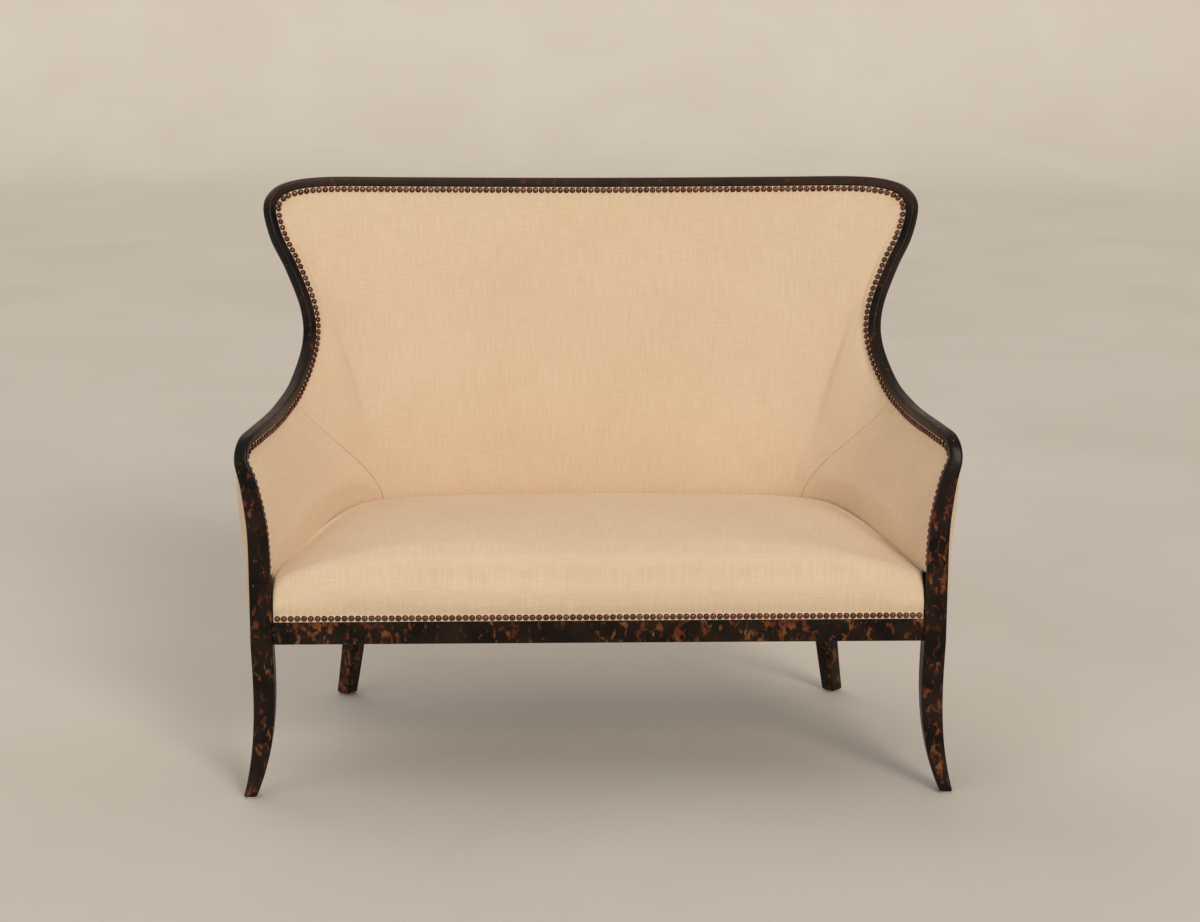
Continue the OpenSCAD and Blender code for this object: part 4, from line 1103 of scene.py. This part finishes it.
@dataclass
class InsideCovers:
    """The padded linen on the inside of the arms and of the back with its wings, and its hessian."""

    finish: Finishes
    rows: int = 62
    skirt: float = 42.0
    hessian: tuple[float, float] = (0.2, 1.2)
    layer_gap: float = 0.3
    pitch: float = 9.0
    seam_dip: float = 0.35
    seam_gap: float = 0.002
    first_ease: int = 3000
    wing_ease: int = 24000
    last_ease: int = 6000
    give: float = 2.0
    hessian_half: float = 2.4

    NEAR = (
        (1, 0.3), (5, 0.28), (6, 0.42), (8.7, 0.65), (10, 0.45), (11, 0.3), (12, 0.18), (13.8, 0.13),
        (14.6, 0.18), (15.4, 0.28), (16, 0.42), (17, 0.8), (20, 0.9),
    )
    ARM_LINE = (
        (SEAT_LINE_AT, 0), (2, 0.15), (3, 0.35), (4, 0.52), (5, 0.65), (6, 0.85), (7, 1.3), (8, 1.95),
        (SEAM_AT, 3),
    )
    BACK_LINE = (
        (SEAM_AT, 3), (10, 3.06), (12, 3.14), (13, 3.22), (14, 3.32), (15, 3.43), (16, 3.55),
        (17, 3.74), (18, 4.15), (19, 4.95), (20, 6),
    )
    PAD = ((1, 3), (3, 6), (5, S.arm_pad_t), (8, S.arm_pad_t), (10, S.back_pad_t))

    def lift(self, t: float, k: float) -> float:
        """Height of the cover's face over the frame at share k of its column."""
        pad = mix(1.5, flowing(LINE.half(t), self.PAD), 1 - (1 - k) ** 3)
        return self.hessian[1] + self.layer_gap + pad + self.layer_gap + S.cover_t

    def line(self, t: float) -> float:
        """Place on the seat line under place t of the frame."""
        if t > LINE.mid:
            return 2 * SEAT_LINE.end - self.line(2 * LINE.mid - t)
        return flowing(t, self.ARM_LINE if t < SEAM_AT else self.BACK_LINE)

    def column(self, t: float, lift: Callable[[float, float], float]) -> list[np.ndarray]:
        """Column of a layer: a flat strip under the nails, then down to the seat line and below it."""
        s, into, inward = self.line(t), LINE.depth(t), LINE.inward(t)
        away, full = line_out(s), self.lift(t, 1)
        top = LINE.point(t, LINE.face(t) - S.rebate_in, S.mould_side + S.edge_gap)
        ledge = top + S.strip * into
        foot = SEAT_LINE.at(s) - full * away
        reach = float(np.linalg.norm(foot - ledge))
        near = flowing(LINE.half(t), self.NEAR) * reach
        made = [mix(top, ledge, k) + lift(t, 0) * inward for k in (0.0, 0.25, 0.5, 0.75)]
        fall = np.array([0.0, 0.0, -0.7 * reach])
        for j in range(self.rows + 1):
            k = (j / self.rows) ** 1.2
            base = hermite(ledge, near * into, foot, fall, k)
            made.append(base + lift(t, k) * unit(mix(inward, away, smooth(k))))
        for k in (0.33, 0.66, 1.0):
            drop = np.array([0, 0, self.skirt * k])
            made.append(SEAT_LINE.at(s) + (lift(t, 1) - full) * away - drop)
        return made

    def grid(self, places: Sequence[float], lift: Callable[[float, float], float]) -> np.ndarray:
        """Grid of a layer over the given places."""
        return np.array([self.column(t, lift) for t in places])

    def places(self, start: float, stop: float) -> list[float]:
        """Places of columns that are evenly apart at the frame and the seat together."""

        def ends(t: float) -> np.ndarray:
            depth = S.mould_side + S.edge_gap + S.strip
            top = LINE.point(t, LINE.face(t) - S.rebate_in, depth)
            return np.concatenate([top, SEAT_LINE.at(self.line(t))]) / math.sqrt(2)

        return spread(ends, start, stop, self.pitch)

    def turned_in(
        self, top: np.ndarray, under: np.ndarray, near: int
    ) -> tuple[np.ndarray, np.ndarray]:
        """Both sheets of a panel with its edge at a seam turned in.

        Args:
            top: the panel's face.
            under: its underside.
            near: first or last column, which is at the seam: 0 or -1.

        Returns:
            The sheets, with three more columns beside the seam.
        """
        order = slice(None) if near == 0 else slice(None, None, -1)
        made = []
        for sheet in (top[order], under[order]):
            extra = [mix(sheet[0], sheet[1], k) for k in (0.06, 0.2, 0.5)]
            made.append(np.concatenate([sheet[:1], extra, sheet[1:]]))
        face, back = made
        for column, share in enumerate((1.0, 0.7, 0.25)):
            away = back[column, 5:-1] - face[column, 5:-1]
            away /= np.maximum(np.linalg.norm(away, axis=1, keepdims=True), 1e-6)
            face[column, 5:-1] += share * self.seam_dip * away
        return face[order], back[order]

    def panel(
        self, name: str, places: list[float], nodes: Sequence[str], outward: tuple[float, float, float],
        side: Side | None = None,
    ) -> None:
        """One padded panel, simulated, seamed at its ends and closed by its underside.

        Args:
            name: the panel's name.
            places: places of its columns along the frame.
            nodes: CAD nodes that it stands for.
            outward: a direction that it faces.
            side: its side, or None for the back.
        """
        under = self.grid(places, lambda t, k: self.hessian[1] + self.layer_gap)
        top = self.grid(places, self.lift)
        free = loose(top, 5)
        # The wing has to flow into the back without a fold
        top = fair(evened(fair(top, self.first_ease, free)), self.wing_ease, free)
        top = fair(pull_tight(name, top, free, np.array(outward), self.give), self.last_ease, free)
        # The cloth is turned in along its seams, so it dips there
        for near in (-1,) if side else (0, -1):
            top, under = self.turned_in(top, under, near)
        points, faces = slab_skin(top, under)
        linen = self.finish.linen
        piece = make_piece(name, points, faces, linen, nodes, flat_lay(top), side=side)
        subdivide(piece)

    def build(self) -> None:
        """Makes the back with its wings, both arms and the hessian behind the back."""
        back = both_halves(self.places(SEAM_AT + self.seam_gap, LINE.mid))
        self.panel("inside_back", back, ("inside_back_cover", "back_pad"), (0.0, -1.0, 0.2))
        arm = self.places(SEAT_LINE_AT, SEAM_AT - self.seam_gap)
        for side in SIDES:
            nodes = (f"{side.word}_inside_arm_cover", f"{side.word}_arm_pad")
            self.panel(f"{side.word}_inside_arm", arm, nodes, (-1.0, 0.0, 0.2), side)
        spots = steps(LINE.mid - self.hessian_half, LINE.mid + self.hessian_half, 60)
        low, high = self.hessian
        outer, inner = self.grid(spots, lambda t, k: high), self.grid(spots, lambda t, k: low)
        points, faces = slab_skin(outer, inner)
        cloth = make_piece(
            "back_lining", points, faces, self.finish.hidden["hessian"], ("back_hessian",),
            flat_lay(outer),
        )


@dataclass
class TightSeat:
    """The tight seat: foam under one linen cover that rolls over the front and tucks in behind."""

    finish: Finishes
    swell: float = 4.5
    face_y: float = 0.6
    inset: float = 1.5
    band_h: float = 13.0
    band_t: float = 0.8
    columns: int = 151
    rows: int = 44
    roll_rows: int = 21
    first_ease: int = 60
    top_ease: int = 1000
    last_ease: int = 600
    give: float = 4.0

    PLACES = (
        (0, 6), (0.25, 5), (0.5, 4.1), (0.7, 3.35), (0.8, 3), (0.87, 2.4), (0.93, 1.5), (0.97, 0.8),
        (1, 0),
    )

    @property
    def half(self) -> float:
        """Half of the seat's width."""
        return S.half_post - S.post_face - self.inset

    @property
    def hem(self) -> float:
        """Height of the cover's lower edge."""
        return S.face_top + 1

    def column(self, q: float) -> list[tuple[float, float, float]]:
        """Column of the cover's face from its hem over the roll to the tuck at the back."""
        size = abs(q)
        s = flowing(size, self.PLACES)
        tucked = SEAT_LINE.at(s) + 1.8 * line_out(s)
        edge_x = q * self.half if size >= 0.999 else math.copysign(tucked[0], q)
        if size < 1e-9:
            edge_x = 0.0
        edge = np.array([edge_x, tucked[1], tucked[2]])
        x = q * self.half
        z_front = mix(S.seat_front_h, SEAT_LINE.points[0][2] + 4, size**6)
        r, wall = S.roll_r, z_front - S.roll_r
        start = self.hem + self.band_h
        made = [(x, self.face_y, z) for z in (self.hem, self.hem + self.band_h / 2)]
        for k in steps(0, 1, 10):
            out = self.swell * math.sin(math.pi * k) ** 0.7
            made.append((x, self.face_y - out, mix(start, wall, k)))
        for a in steps(9, 90, 10):
            turn = math.radians(a)
            made.append((x, self.face_y + r - r * math.cos(turn), wall + r * math.sin(turn)))
        crown = S.seat_crown * (1 - size**4)
        for v in steps(1 / self.rows, 1, self.rows):
            made.append((
                mix(x, edge[0], v), mix(self.face_y + r, edge[1], v),
                mix(z_front, edge[2], v) + crown * 4 * v * (1 - v),
            ))
        floor = S.rail_top + 8
        for k in (0.3, 0.65, 1.0):
            made.append((edge[0], edge[1], mix(edge[2], floor, k)))
        return made

    def build(self) -> None:
        """Makes the seat, closed by its flat underside, and the folded band under its nails."""
        top = np.array([self.column(q) for q in steps(-1, 1, self.columns)])
        nu, nv = top.shape[:2]
        free = loose(top, 3)
        # Between the front roll and the tuck the foam's skin has no folds
        flat = [smooth((j - self.roll_rows) / 8) * smooth((nv - 6 - j) / 16) for j in range(nv)]
        behind = free * np.array(flat)
        top = fair(fair(top, self.first_ease, free), self.top_ease, behind)
        top = pull_tight("tight_seat", top, free, np.array([0.0, 0.0, 1.0]), self.give)
        top = fair(top, self.last_ease, behind)
        under = top.copy()
        under[:, :, 1] = np.maximum(under[:, :, 1], self.face_y + S.cover_t + 0.8)
        under[:, :, 2] = np.minimum(under[:, :, 2], S.rail_top + 6)
        under[:, -1, 2] = S.rail_top + 6
        run = np.linalg.norm(np.diff(top[:, :, 1:], axis=1), axis=2)
        along = np.concatenate([np.zeros((nu, 1)), np.cumsum(run, axis=1)], axis=1)
        weave = np.stack([top[:, :, 0], along], axis=2) * MM
        points, faces = slab_skin(top, under)
        nodes = ("seat_cover", "seat_foam")
        piece = make_piece("tight_seat", points, faces, self.finish.linen, nodes, weave)
        subdivide(piece)
        self.band()

    def band(self) -> None:
        """Folded strip of the same cloth under the row of nails."""
        outer = self.face_y - 0.2
        front, z0, z1 = outer - self.band_t, self.hem, self.hem + self.band_h - 0.4
        corners = np.array([(front, z0), (front, z1), (outer, z1), (outer, z0)])
        shape = rounded(corners, [0.38] * 4, 3)
        half = self.half - 1
        xs = steps(-half, half, 240)
        rings = np.array([[(x, y, z) for y, z in shape] for x in xs])
        weave = np.stack([rings[:, :, 0], rings[:, :, 2]], axis=2) * MM
        points, faces = ring_skin(rings)
        linen = self.finish.linen
        make_piece("front_band", points, faces, linen, ("front_nail_band",), weave, sharp=60)


@dataclass
class OutsideCovers:
    """The linen on the outside of the arms and back, set in the frame's outer rebate."""

    finish: Finishes
    gap: float = 1.2
    rows: int = 26
    pitch: float = 10.0
    seam_gap: float = 0.003
    corner_cut: float = 20.0
    ease: int = 60
    arm_cut: tuple[float, float] = (0.66, 0.5)
    back_cut: tuple[float, float] = (1.4, 1.0)

    NEAR = ((1, 0.3), (6, 0.5), (10, 0.5), (12, 0.3), (20, 0.25))
    SIDE_LINE = ((0.2, 0), (3, 0.06), (5, 0.14), (6, 0.28), (7, 0.67), (8, 1.03), (9, 1.62), (10, 3))
    BACK_LINE = (
        (10, 3), (12, 3.6), (14, 4.3), (15, 4.6), (16, 5), (17, 5.7), (18, 6.5), (19, 7.3), (20, 8),
    )

    def __post_init__(self) -> None:
        """Draws the line of the covers at the rails."""
        corner_x, back_y, cut = S.corner_x, S.back_y, self.corner_cut
        inner, y0 = back_y - S.rail_t, S.post_back
        ys = (y0, mix(y0, inner, 0.5), inner - 75, inner - 20, back_y - cut)
        xs = (corner_x - cut - 4, corner_x - 65, 0.5 * corner_x, 0)
        self.base = MirroredCurve(
            np.array([(rail_out(y), y, 0) for y in ys] + [(x, back_y, 0) for x in xs], float)
        )

    def out(self, s: float) -> np.ndarray:
        """Level direction out of the rails at place s of their line."""
        if s > self.base.end:
            return mirrored(self.out(2 * self.base.end - s))
        d = self.base.at(s + 0.02) - self.base.at(s - 0.02)
        return unit(np.array([d[1], -d[0], 0.0]))

    def line(self, t: float) -> float:
        """Place on the rails' line under place t of the frame."""
        if t > LINE.mid:
            return 2 * self.base.end - self.line(2 * LINE.mid - t)
        return flowing(t, self.SIDE_LINE if t < OUTSIDE_SEAM_AT else self.BACK_LINE)

    def column(self, t: float, h: float, swell: float) -> list[np.ndarray]:
        """Column of the cover from the moulding to its hem at the rail, h out from the frame."""
        s, half = self.line(t), LINE.half(t)
        top = LINE.point(t, S.rebate_out, S.mould_side - 2 + S.edge_gap)
        z = mix(S.rail_bottom + 14, S.rail_top, smooth((half - 0.2) / 1.3))
        foot = self.base.at(s) + np.array([0, 0, z])
        reach = float(np.linalg.norm(foot - top))
        near = flowing(half, self.NEAR)
        rise = swell * smooth(half - 0.2) * smooth((OUTSIDE_SEAM_AT - half) / 1.5)
        made = []
        for k in steps(0, 1, self.rows):
            base = hermite(top, near * reach * LINE.depth(t), foot, 0.7 * (foot - top), k)
            side = unit(mix(-LINE.inward(t), self.out(s), smooth(k)))
            made.append(base + (h + rise * math.sin(math.pi * k)) * side)
        low = self.base.at(s) + h * self.out(s) + np.array([0, 0, S.rail_bottom + 1])
        return made + [mix(made[-1], low, k) for k in (0.5, 0.9, 1.0)]

    def places(self, start: float, stop: float) -> list[float]:
        """Places of columns that are evenly apart at the frame and the rails together."""

        def ends(t: float) -> np.ndarray:
            top = LINE.point(t, S.rebate_out, S.mould_side)
            return np.concatenate([top, self.base.at(self.line(t))]) / math.sqrt(2)

        return spread(ends, start, stop, self.pitch)

    def cover(
        self, name: str, places: Sequence[float], swell: float,
        side: Side | None = None,
    ) -> None:
        """One stretched sheet of linen.

        Args:
            name: the sheet's name, which its CAD node has too.
            places: places of its columns along the frame.
            swell: how far the stuffing pushes it out.
            side: its side, or None for the back.
        """
        inner = np.array([self.column(t, self.gap, swell) for t in places])
        outer = np.array([self.column(t, self.gap + S.cover_t, swell) for t in places])
        inner, outer = (fair(sheet, self.ease, loose(sheet, 2)) for sheet in (inner, outer))
        points, faces = slab_skin(outer, inner)
        nodes, linen = (name + "_cover",), self.finish.linen
        piece = make_piece(name, points, faces, linen, nodes, flat_lay(outer), side=side)
        subdivide(piece)

    def build(self) -> None:
        """Makes both outside arms and the outside back."""
        arm = self.places(0.2, OUTSIDE_SEAM_AT - self.seam_gap)
        for side in SIDES:
            self.cover(f"{side.word}_outside_arm", arm, S.outside_swell, side)
        back = both_halves(self.places(OUTSIDE_SEAM_AT + self.seam_gap, LINE.mid))
        self.cover("outside_back", back, 0.0)


# ---------------------------------------------------------------- nails


@dataclass
class NailRows:
    """Rows of domed nails that touch, driven by hand: each sits a little off its place."""

    finish: Finishes
    covers: InsideCovers
    seed: int = 7
    turns: int = 18
    rise: int = 6
    stray: float = 0.22
    lean: float = 0.07
    head_d: float = 11.0

    def __post_init__(self) -> None:
        """Seeds the hand that drives the nails."""
        self.hand = np.random.default_rng(self.seed)

    def head(self) -> tuple[*Skin, np.ndarray]:
        """Points, faces and dome share of one nail head that stands on the origin."""
        r, h, m = self.head_d / 2, S.nail_h, self.turns
        rings, dome = [], []
        for i in range(self.rise):
            a = math.pi / 2 * i / self.rise
            wide, tall = r * math.cos(a) ** 0.85, h * math.sin(a)
            for j in range(m):
                b = 2 * math.pi * j / m
                rings.append((wide * math.cos(b), wide * math.sin(b), tall))
                dome.append(math.sin(a))
        points = np.array(rings + [(0, 0, h), *[(0.92 * p[0], 0.92 * p[1], -0.3) for p in rings[:m]]])
        dome += [1.0] + [0.0] * m
        tip, low = self.rise * m, self.rise * m + 1
        last, faces = tip - m, ring_faces(self.rise, m)
        faces += [(last + j, last + (j + 1) % m, tip) for j in range(m)]
        faces += [(low + j, low + (j + 1) % m, (j + 1) % m, j) for j in range(m)]
        faces.append(tuple(low + j for j in reversed(range(m))))
        return points, faces, np.array(dome)

    def row(self, name: str, node: str, seats: Sequence[NailSeat], side: Side | None = None) -> None:
        """One row of nails.

        Args:
            name: the row's name.
            node: the CAD node that it stands for.
            seats: for each nail its place, the way that it faces and the way that the row runs.
            side: its side, or None.
        """
        shape, faces, dome = self.head()
        points, all_faces, domes, tones = [], [], [], []
        for n, (place, face, run) in enumerate(seats):
            up = unit(face)
            along = unit(run - run.dot(up) * up)
            turn = np.stack([along, np.cross(up, along), up], axis=1)
            lean_x, lean_y = (float(self.hand.uniform(-self.lean, self.lean)) for _ in range(2))
            tilt = Matrix.Rotation(lean_x, 3, "X") @ Matrix.Rotation(lean_y, 3, "Y")
            off = turn @ np.array([*self.hand.uniform(-self.stray, self.stray, 2), 0.0])
            points.append(shape @ (turn @ np.array(tilt)).T + place + off)
            all_faces += [tuple(i + n * len(shape) for i in f) for f in faces]
            domes.append(dome)
            tones.append(np.full(len(shape), self.hand.uniform(0.25, 1.0)))
        made, bronze = np.concatenate(points), self.finish.bronze
        piece = make_piece(
            name, made, all_faces, bronze, (node,), sharp=60, side=side
        )
        for label, values in (("dome", domes), ("tone", tones)):
            layer = piece.data.attributes.new(label, "FLOAT", "POINT")
            layer.data.foreach_set("value", np.concatenate(values).astype(np.float32))

    def along_frame(self, start: float, stop: float) -> list[NailSeat]:
        """Seats of the nails beside the moulding, at even steps between two places."""

        def seat(t: float) -> np.ndarray:
            lift = self.covers.lift(t, 0) + 0.1
            depth = S.mould_side + S.edge_gap + S.strip / 2
            return LINE.point(t, LINE.face(t) - S.rebate_in + lift, depth)

        ends = spread(seat, start, stop, S.nail_pitch)
        middles = [(a + b) / 2 for a, b in zip(ends, ends[1:])]
        return [(seat(t), LINE.inward(t), LINE.curve.towards(t)) for t in middles]

    def build(self) -> None:
        """Drives every row."""
        beside = self.along_frame(SEAT_LINE_AT + 0.15, CREST_JOINT)
        for side in SIDES:
            self.row(f"{side.word}_nails", f"{side.word}_side_nails", beside, side)
        above = self.along_frame(CREST_JOINT, 2 * LINE.mid - CREST_JOINT)
        self.row("top_nails", "crest_nails", above)
        seat = TightSeat(self.finish)
        span = 2 * seat.half - 4
        count = int(span // S.nail_pitch)
        y, z = seat.face_y - 0.4 - seat.band_t, seat.hem + seat.band_h / 2
        face, run = np.array([0.0, -1.0, 0.0]), np.array([1.0, 0.0, 0.0])
        xs = [(i + 0.5) * span / count - span / 2 for i in range(count)]
        self.row("rail_nails", "front_nails", [(np.array([x, y, z]), face, run) for x in xs])


# ---------------------------------------------------------------- hidden pieces


@dataclass
class Underneath:
    """What is under and inside the covers: webbing, hessian platform, dust cover and the bare frame."""

    finish: Finishes
    strap_t: float = 2.0
    pitch: float = 88.0
    cross_y: tuple[float, ...] = (120.0, 230.0, 340.0)
    flat: tuple[float, float] = (1.2, 0.6)

    @property
    def strap_z(self) -> float:
        """Height of the underside of the webbing."""
        return S.rail_top + 0.2

    def long_strap(self, x: float, way: int) -> Skin:
        """Strap from front to back that passes over and under the cross straps."""
        lift = self.strap_t + 0.2
        rings, a, b = [], x - S.strap_width / 2, x + S.strap_width / 2
        for y in steps(6, S.back_y - 4, 70):
            rise = 0.0
            for i, cross in enumerate(self.cross_y):
                over = way if i % 2 == 0 else -way
                rise += lift * over * smooth((34 - abs(y - cross)) / 8)
            low, high = self.strap_z + rise, self.strap_z + rise + self.strap_t
            rings.append([(a, y, low), (b, y, low), (b, y, high), (a, y, high)])
        return ring_skin(np.array(rings))

    def straps(self) -> None:
        """Webbing both ways."""
        parts = [
            self.long_strap((i - (S.strap_count - 1) / 2) * self.pitch, 1 if i % 2 == 0 else -1)
            for i in range(S.strap_count)
        ]
        self.joined("long_webbing", parts, "long_straps")
        parts, low, high = [], self.strap_z, self.strap_z + self.strap_t
        for y in self.cross_y:
            a, b = y - S.strap_width / 2, y + S.strap_width / 2
            end = rail_out(b) - 6
            rings = [
                [(x, a, low), (x, b, low), (x, b, high), (x, a, high)] for x in steps(-end, end, 40)
            ]
            parts.append(ring_skin(np.array(rings)))
        self.joined("cross_webbing", parts, "cross_straps")

    def joined(self, name: str, parts: Sequence[Skin], node: str) -> None:
        """One piece of several straps."""
        points, faces, start = [], [], 0
        for p, f in parts:
            points.append(p)
            faces += [tuple(i + start for i in face) for face in f]
            start += len(p)
        jute = self.finish.hidden["webbing"]
        make_piece(name, np.concatenate(points), faces, jute, (node,), sharp=30)

    def tacked_sheet(
        self, name: str, node: str, slot: str, half_width: Callable[[float], float],
        y: tuple[float, float], z: float, thick: float, sag: float,
    ) -> None:
        """Level sheet tacked round its edge, which sags a little between its tacks.

        Args:
            name: the sheet's name.
            node: the CAD node that it stands for.
            slot: its material slot.
            half_width: half of its width at a depth.
            y: its front and back edges.
            z: height of its underside.
            thick: its thickness.
            sag: how far its middle hangs.
        """
        us, vs = steps(-1, 1, 61), steps(0, 1, 31)
        grid = np.zeros((len(us), len(vs), 3))
        for i, u in enumerate(us):
            for j, v in enumerate(vs):
                depth, drop = mix(y[0], y[1], v), 0.0
                if 0 < v < 1 and abs(u) < 1:
                    drop = sag * math.sin(math.pi * v) ** 0.8 * math.cos(u * math.pi / 2) ** 0.5
                grid[i, j] = (u * half_width(depth), depth, z - drop)
        upper = grid + np.array([0, 0, thick])
        points, faces = slab_skin(upper, grid)
        cloth, lay = self.finish.hidden[slot], grid[:, :, :2] * MM
        piece = make_piece(name, points, faces, cloth, (node,), lay)

    def sheets(self) -> None:
        """Hessian platform over the webbing and black dust cover under the rails."""
        leg_y, back_in = S.back_y - 28, S.back_y - S.rail_t

        def dust(y: float) -> float:
            wide = S.half_post - S.post_face - 4 if y < S.post_back + 4 else rail_out(y) - 8
            return mix(wide, S.corner_x - 70, smooth((y - leg_y + 44) / 16))

        def platform(y: float) -> float:
            wide = min(rail_out(y) - 30, S.half_post - S.post_face - 16)
            return mix(wide, S.corner_x - 128, smooth((y - back_in + 96) / 60))

        low, high = S.rail_bottom - 1.2, self.strap_z + 2 * self.strap_t + 0.5
        self.tacked_sheet(
            "dust_sheet", "dust_cover", "dust_cloth", dust, (8, leg_y), low, 0.8, 1.5
        )
        self.tacked_sheet(
            "seat_platform", "seat_hessian", "hessian", platform, (6, back_in), high, 1.0, 0.0,
        )

    def bare_nodes(self) -> None:
        """Finishes of the CAD nodes that stay as they are, by their material slot."""
        slots = {part["node"]: part["material_slot"] for part in frame["record"]["subparts"]}
        for name, node in frame["nodes"].items():
            if node.hide_render or slots[name] not in self.finish.hidden:
                continue
            node.data.materials.clear()
            node.data.materials.append(self.finish.hidden[slots[name]])
            edge = node.modifiers.new("eased_edges", "BEVEL")
            edge.width, edge.segments, edge.limit_method = 0.0006, 2, "ANGLE"
            edge.angle_limit = math.radians(50)

    def build(self) -> None:
        """Makes everything that the covers hide."""
        self.straps()
        self.sheets()
        self.bare_nodes()


# ---------------------------------------------------------------- studio


@dataclass
class Studio:
    """Plain pale floor, soft lamps and a camera where the photograph was taken from."""

    width: int = 1200
    focal_px: float = 2850.5
    sensor: float = 36.0
    place: tuple[float, float, float] = (-0.1542, -5.160, 1.766)
    yaw: float = 1.815
    tilt: float = 13.356
    roll: float = 0.167
    floor_colour: str = "#D8D2C8"
    sky_colour: str = "#F3EFEA"
    reach: float = 9.0
    sweep: float = 1.5
    wall: float = 7.0

    # Name, place, softness in degrees, power and tint of each lamp
    LAMPS = (
        ("key_lamp", (1.6, -3.4, 2.7), 22.0, 1.32, "#FFF6EA"),
        ("fill_lamp", (-2.8, -3.0, 1.6), 50.0, 0.58, "#FFFAF4"),
        ("back_lamp", (-1.4, 3.0, 2.8), 50.0, 0.55, "#FFFAF4"),
    )

    def camera(self) -> None:
        """Camera at the photograph's viewing angle."""
        data = bpy.data.cameras.new("camera")
        data.sensor_fit, data.sensor_width = "HORIZONTAL", self.sensor
        data.lens = self.focal_px * self.sensor / self.width
        data.clip_start, data.clip_end = 0.05, 60.0
        eye = bpy.data.objects.new("camera", data)
        bpy.context.scene.collection.objects.link(eye)
        y, p, r = (math.radians(a) for a in (self.yaw, self.tilt, self.roll))
        ahead = Vector((math.sin(y) * math.cos(p), math.cos(y) * math.cos(p), -math.sin(p)))
        right = Vector((math.cos(y), -math.sin(y), 0.0))
        up = right.cross(ahead)
        side = right * math.cos(r) + up * math.sin(r)
        head = up * math.cos(r) - right * math.sin(r)
        turn = Matrix((side, head, -ahead)).transposed().to_4x4()
        eye.matrix_world = Matrix.Translation(self.place) @ turn
        bpy.context.scene.camera = eye

    def lamps(self) -> None:
        """Soft far lamps, which light the settee and its floor alike, aimed at the seat."""
        for name, place, softness, power, tint in self.LAMPS:
            data = bpy.data.lights.new(name, "SUN")
            data.angle, data.energy = math.radians(softness), power
            data.color = linear(tint)[:3]
            made = bpy.data.objects.new(name, data)
            bpy.context.scene.collection.objects.link(made)
            made.location = place
            made.rotation_mode = "QUATERNION"
            made.rotation_quaternion = (Vector((0, 0, 0.55)) - Vector(place)).to_track_quat("-Z", "Y")

    def floor(self) -> None:
        """Pale floor that sweeps up into the backdrop."""
        r, turn = self.sweep, self.reach - self.sweep
        rows = [(-self.reach, 0.0), (turn, 0.0)]
        rows += [(turn + r * math.sin(a), r - r * math.cos(a)) for a in steps(0.1, math.pi / 2, 12)]
        rows.append((self.reach, self.wall))
        points = [(x, y, z) for y, z in rows for x in (-self.reach, self.reach)]
        faces = [(2 * i, 2 * i + 1, 2 * i + 3, 2 * i + 2) for i in range(len(rows) - 1)]
        mesh = bpy.data.meshes.new("studio_floor")
        mesh.from_pydata(points, [], faces)
        mesh.polygons.foreach_set("use_smooth", [True] * len(mesh.polygons))
        # Painted board: matt, with a faint roller texture
        grain = (700, 700, 700)
        paint = PlainFinish("matt_painted_board", self.floor_colour, "#D2CBC0", grain, 0.75, 0.0, 0.1)
        mesh.materials.append(paint.material())
        made = bpy.data.objects.new("studio_floor", mesh)
        bpy.context.scene.collection.objects.link(made)

    def build(self) -> None:
        """Sets the view, the lamps, the floor and the world."""
        scene = bpy.context.scene
        scene.view_settings.view_transform = "Standard"
        world = bpy.data.worlds.new("studio")
        scene.world = world
        world.use_nodes = True
        tree = world.node_tree
        # The ceiling is brighter than the walls
        height = put(tree, "SeparateXYZ", {0: put(tree, "TexCoord").outputs["Generated"]}).outputs["Z"]
        glow = put(tree, "MapRange", {
            "Value": height, "From Min": 0.5, "From Max": 1.0, "To Min": 0.34, "To Max": 0.8,
        })
        wire(tree.nodes["Background"], {"Color": linear(self.sky_colour), "Strength": glow})
        self.camera()
        self.lamps()
        self.floor()


def main() -> None:
    """Builds the settee and its studio in order."""
    logging.basicConfig(level=logging.INFO, format="%(message)s", stream=sys.stdout)
    finish = Finishes()
    ShowFrame(finish).build()
    covers = InsideCovers(finish)
    covers.build()
    TightSeat(finish).build()
    OutsideCovers(finish).build()
    NailRows(finish, covers).build()
    Underneath(finish).build()
    Studio().build()


if __name__ == "__main__":
    main()
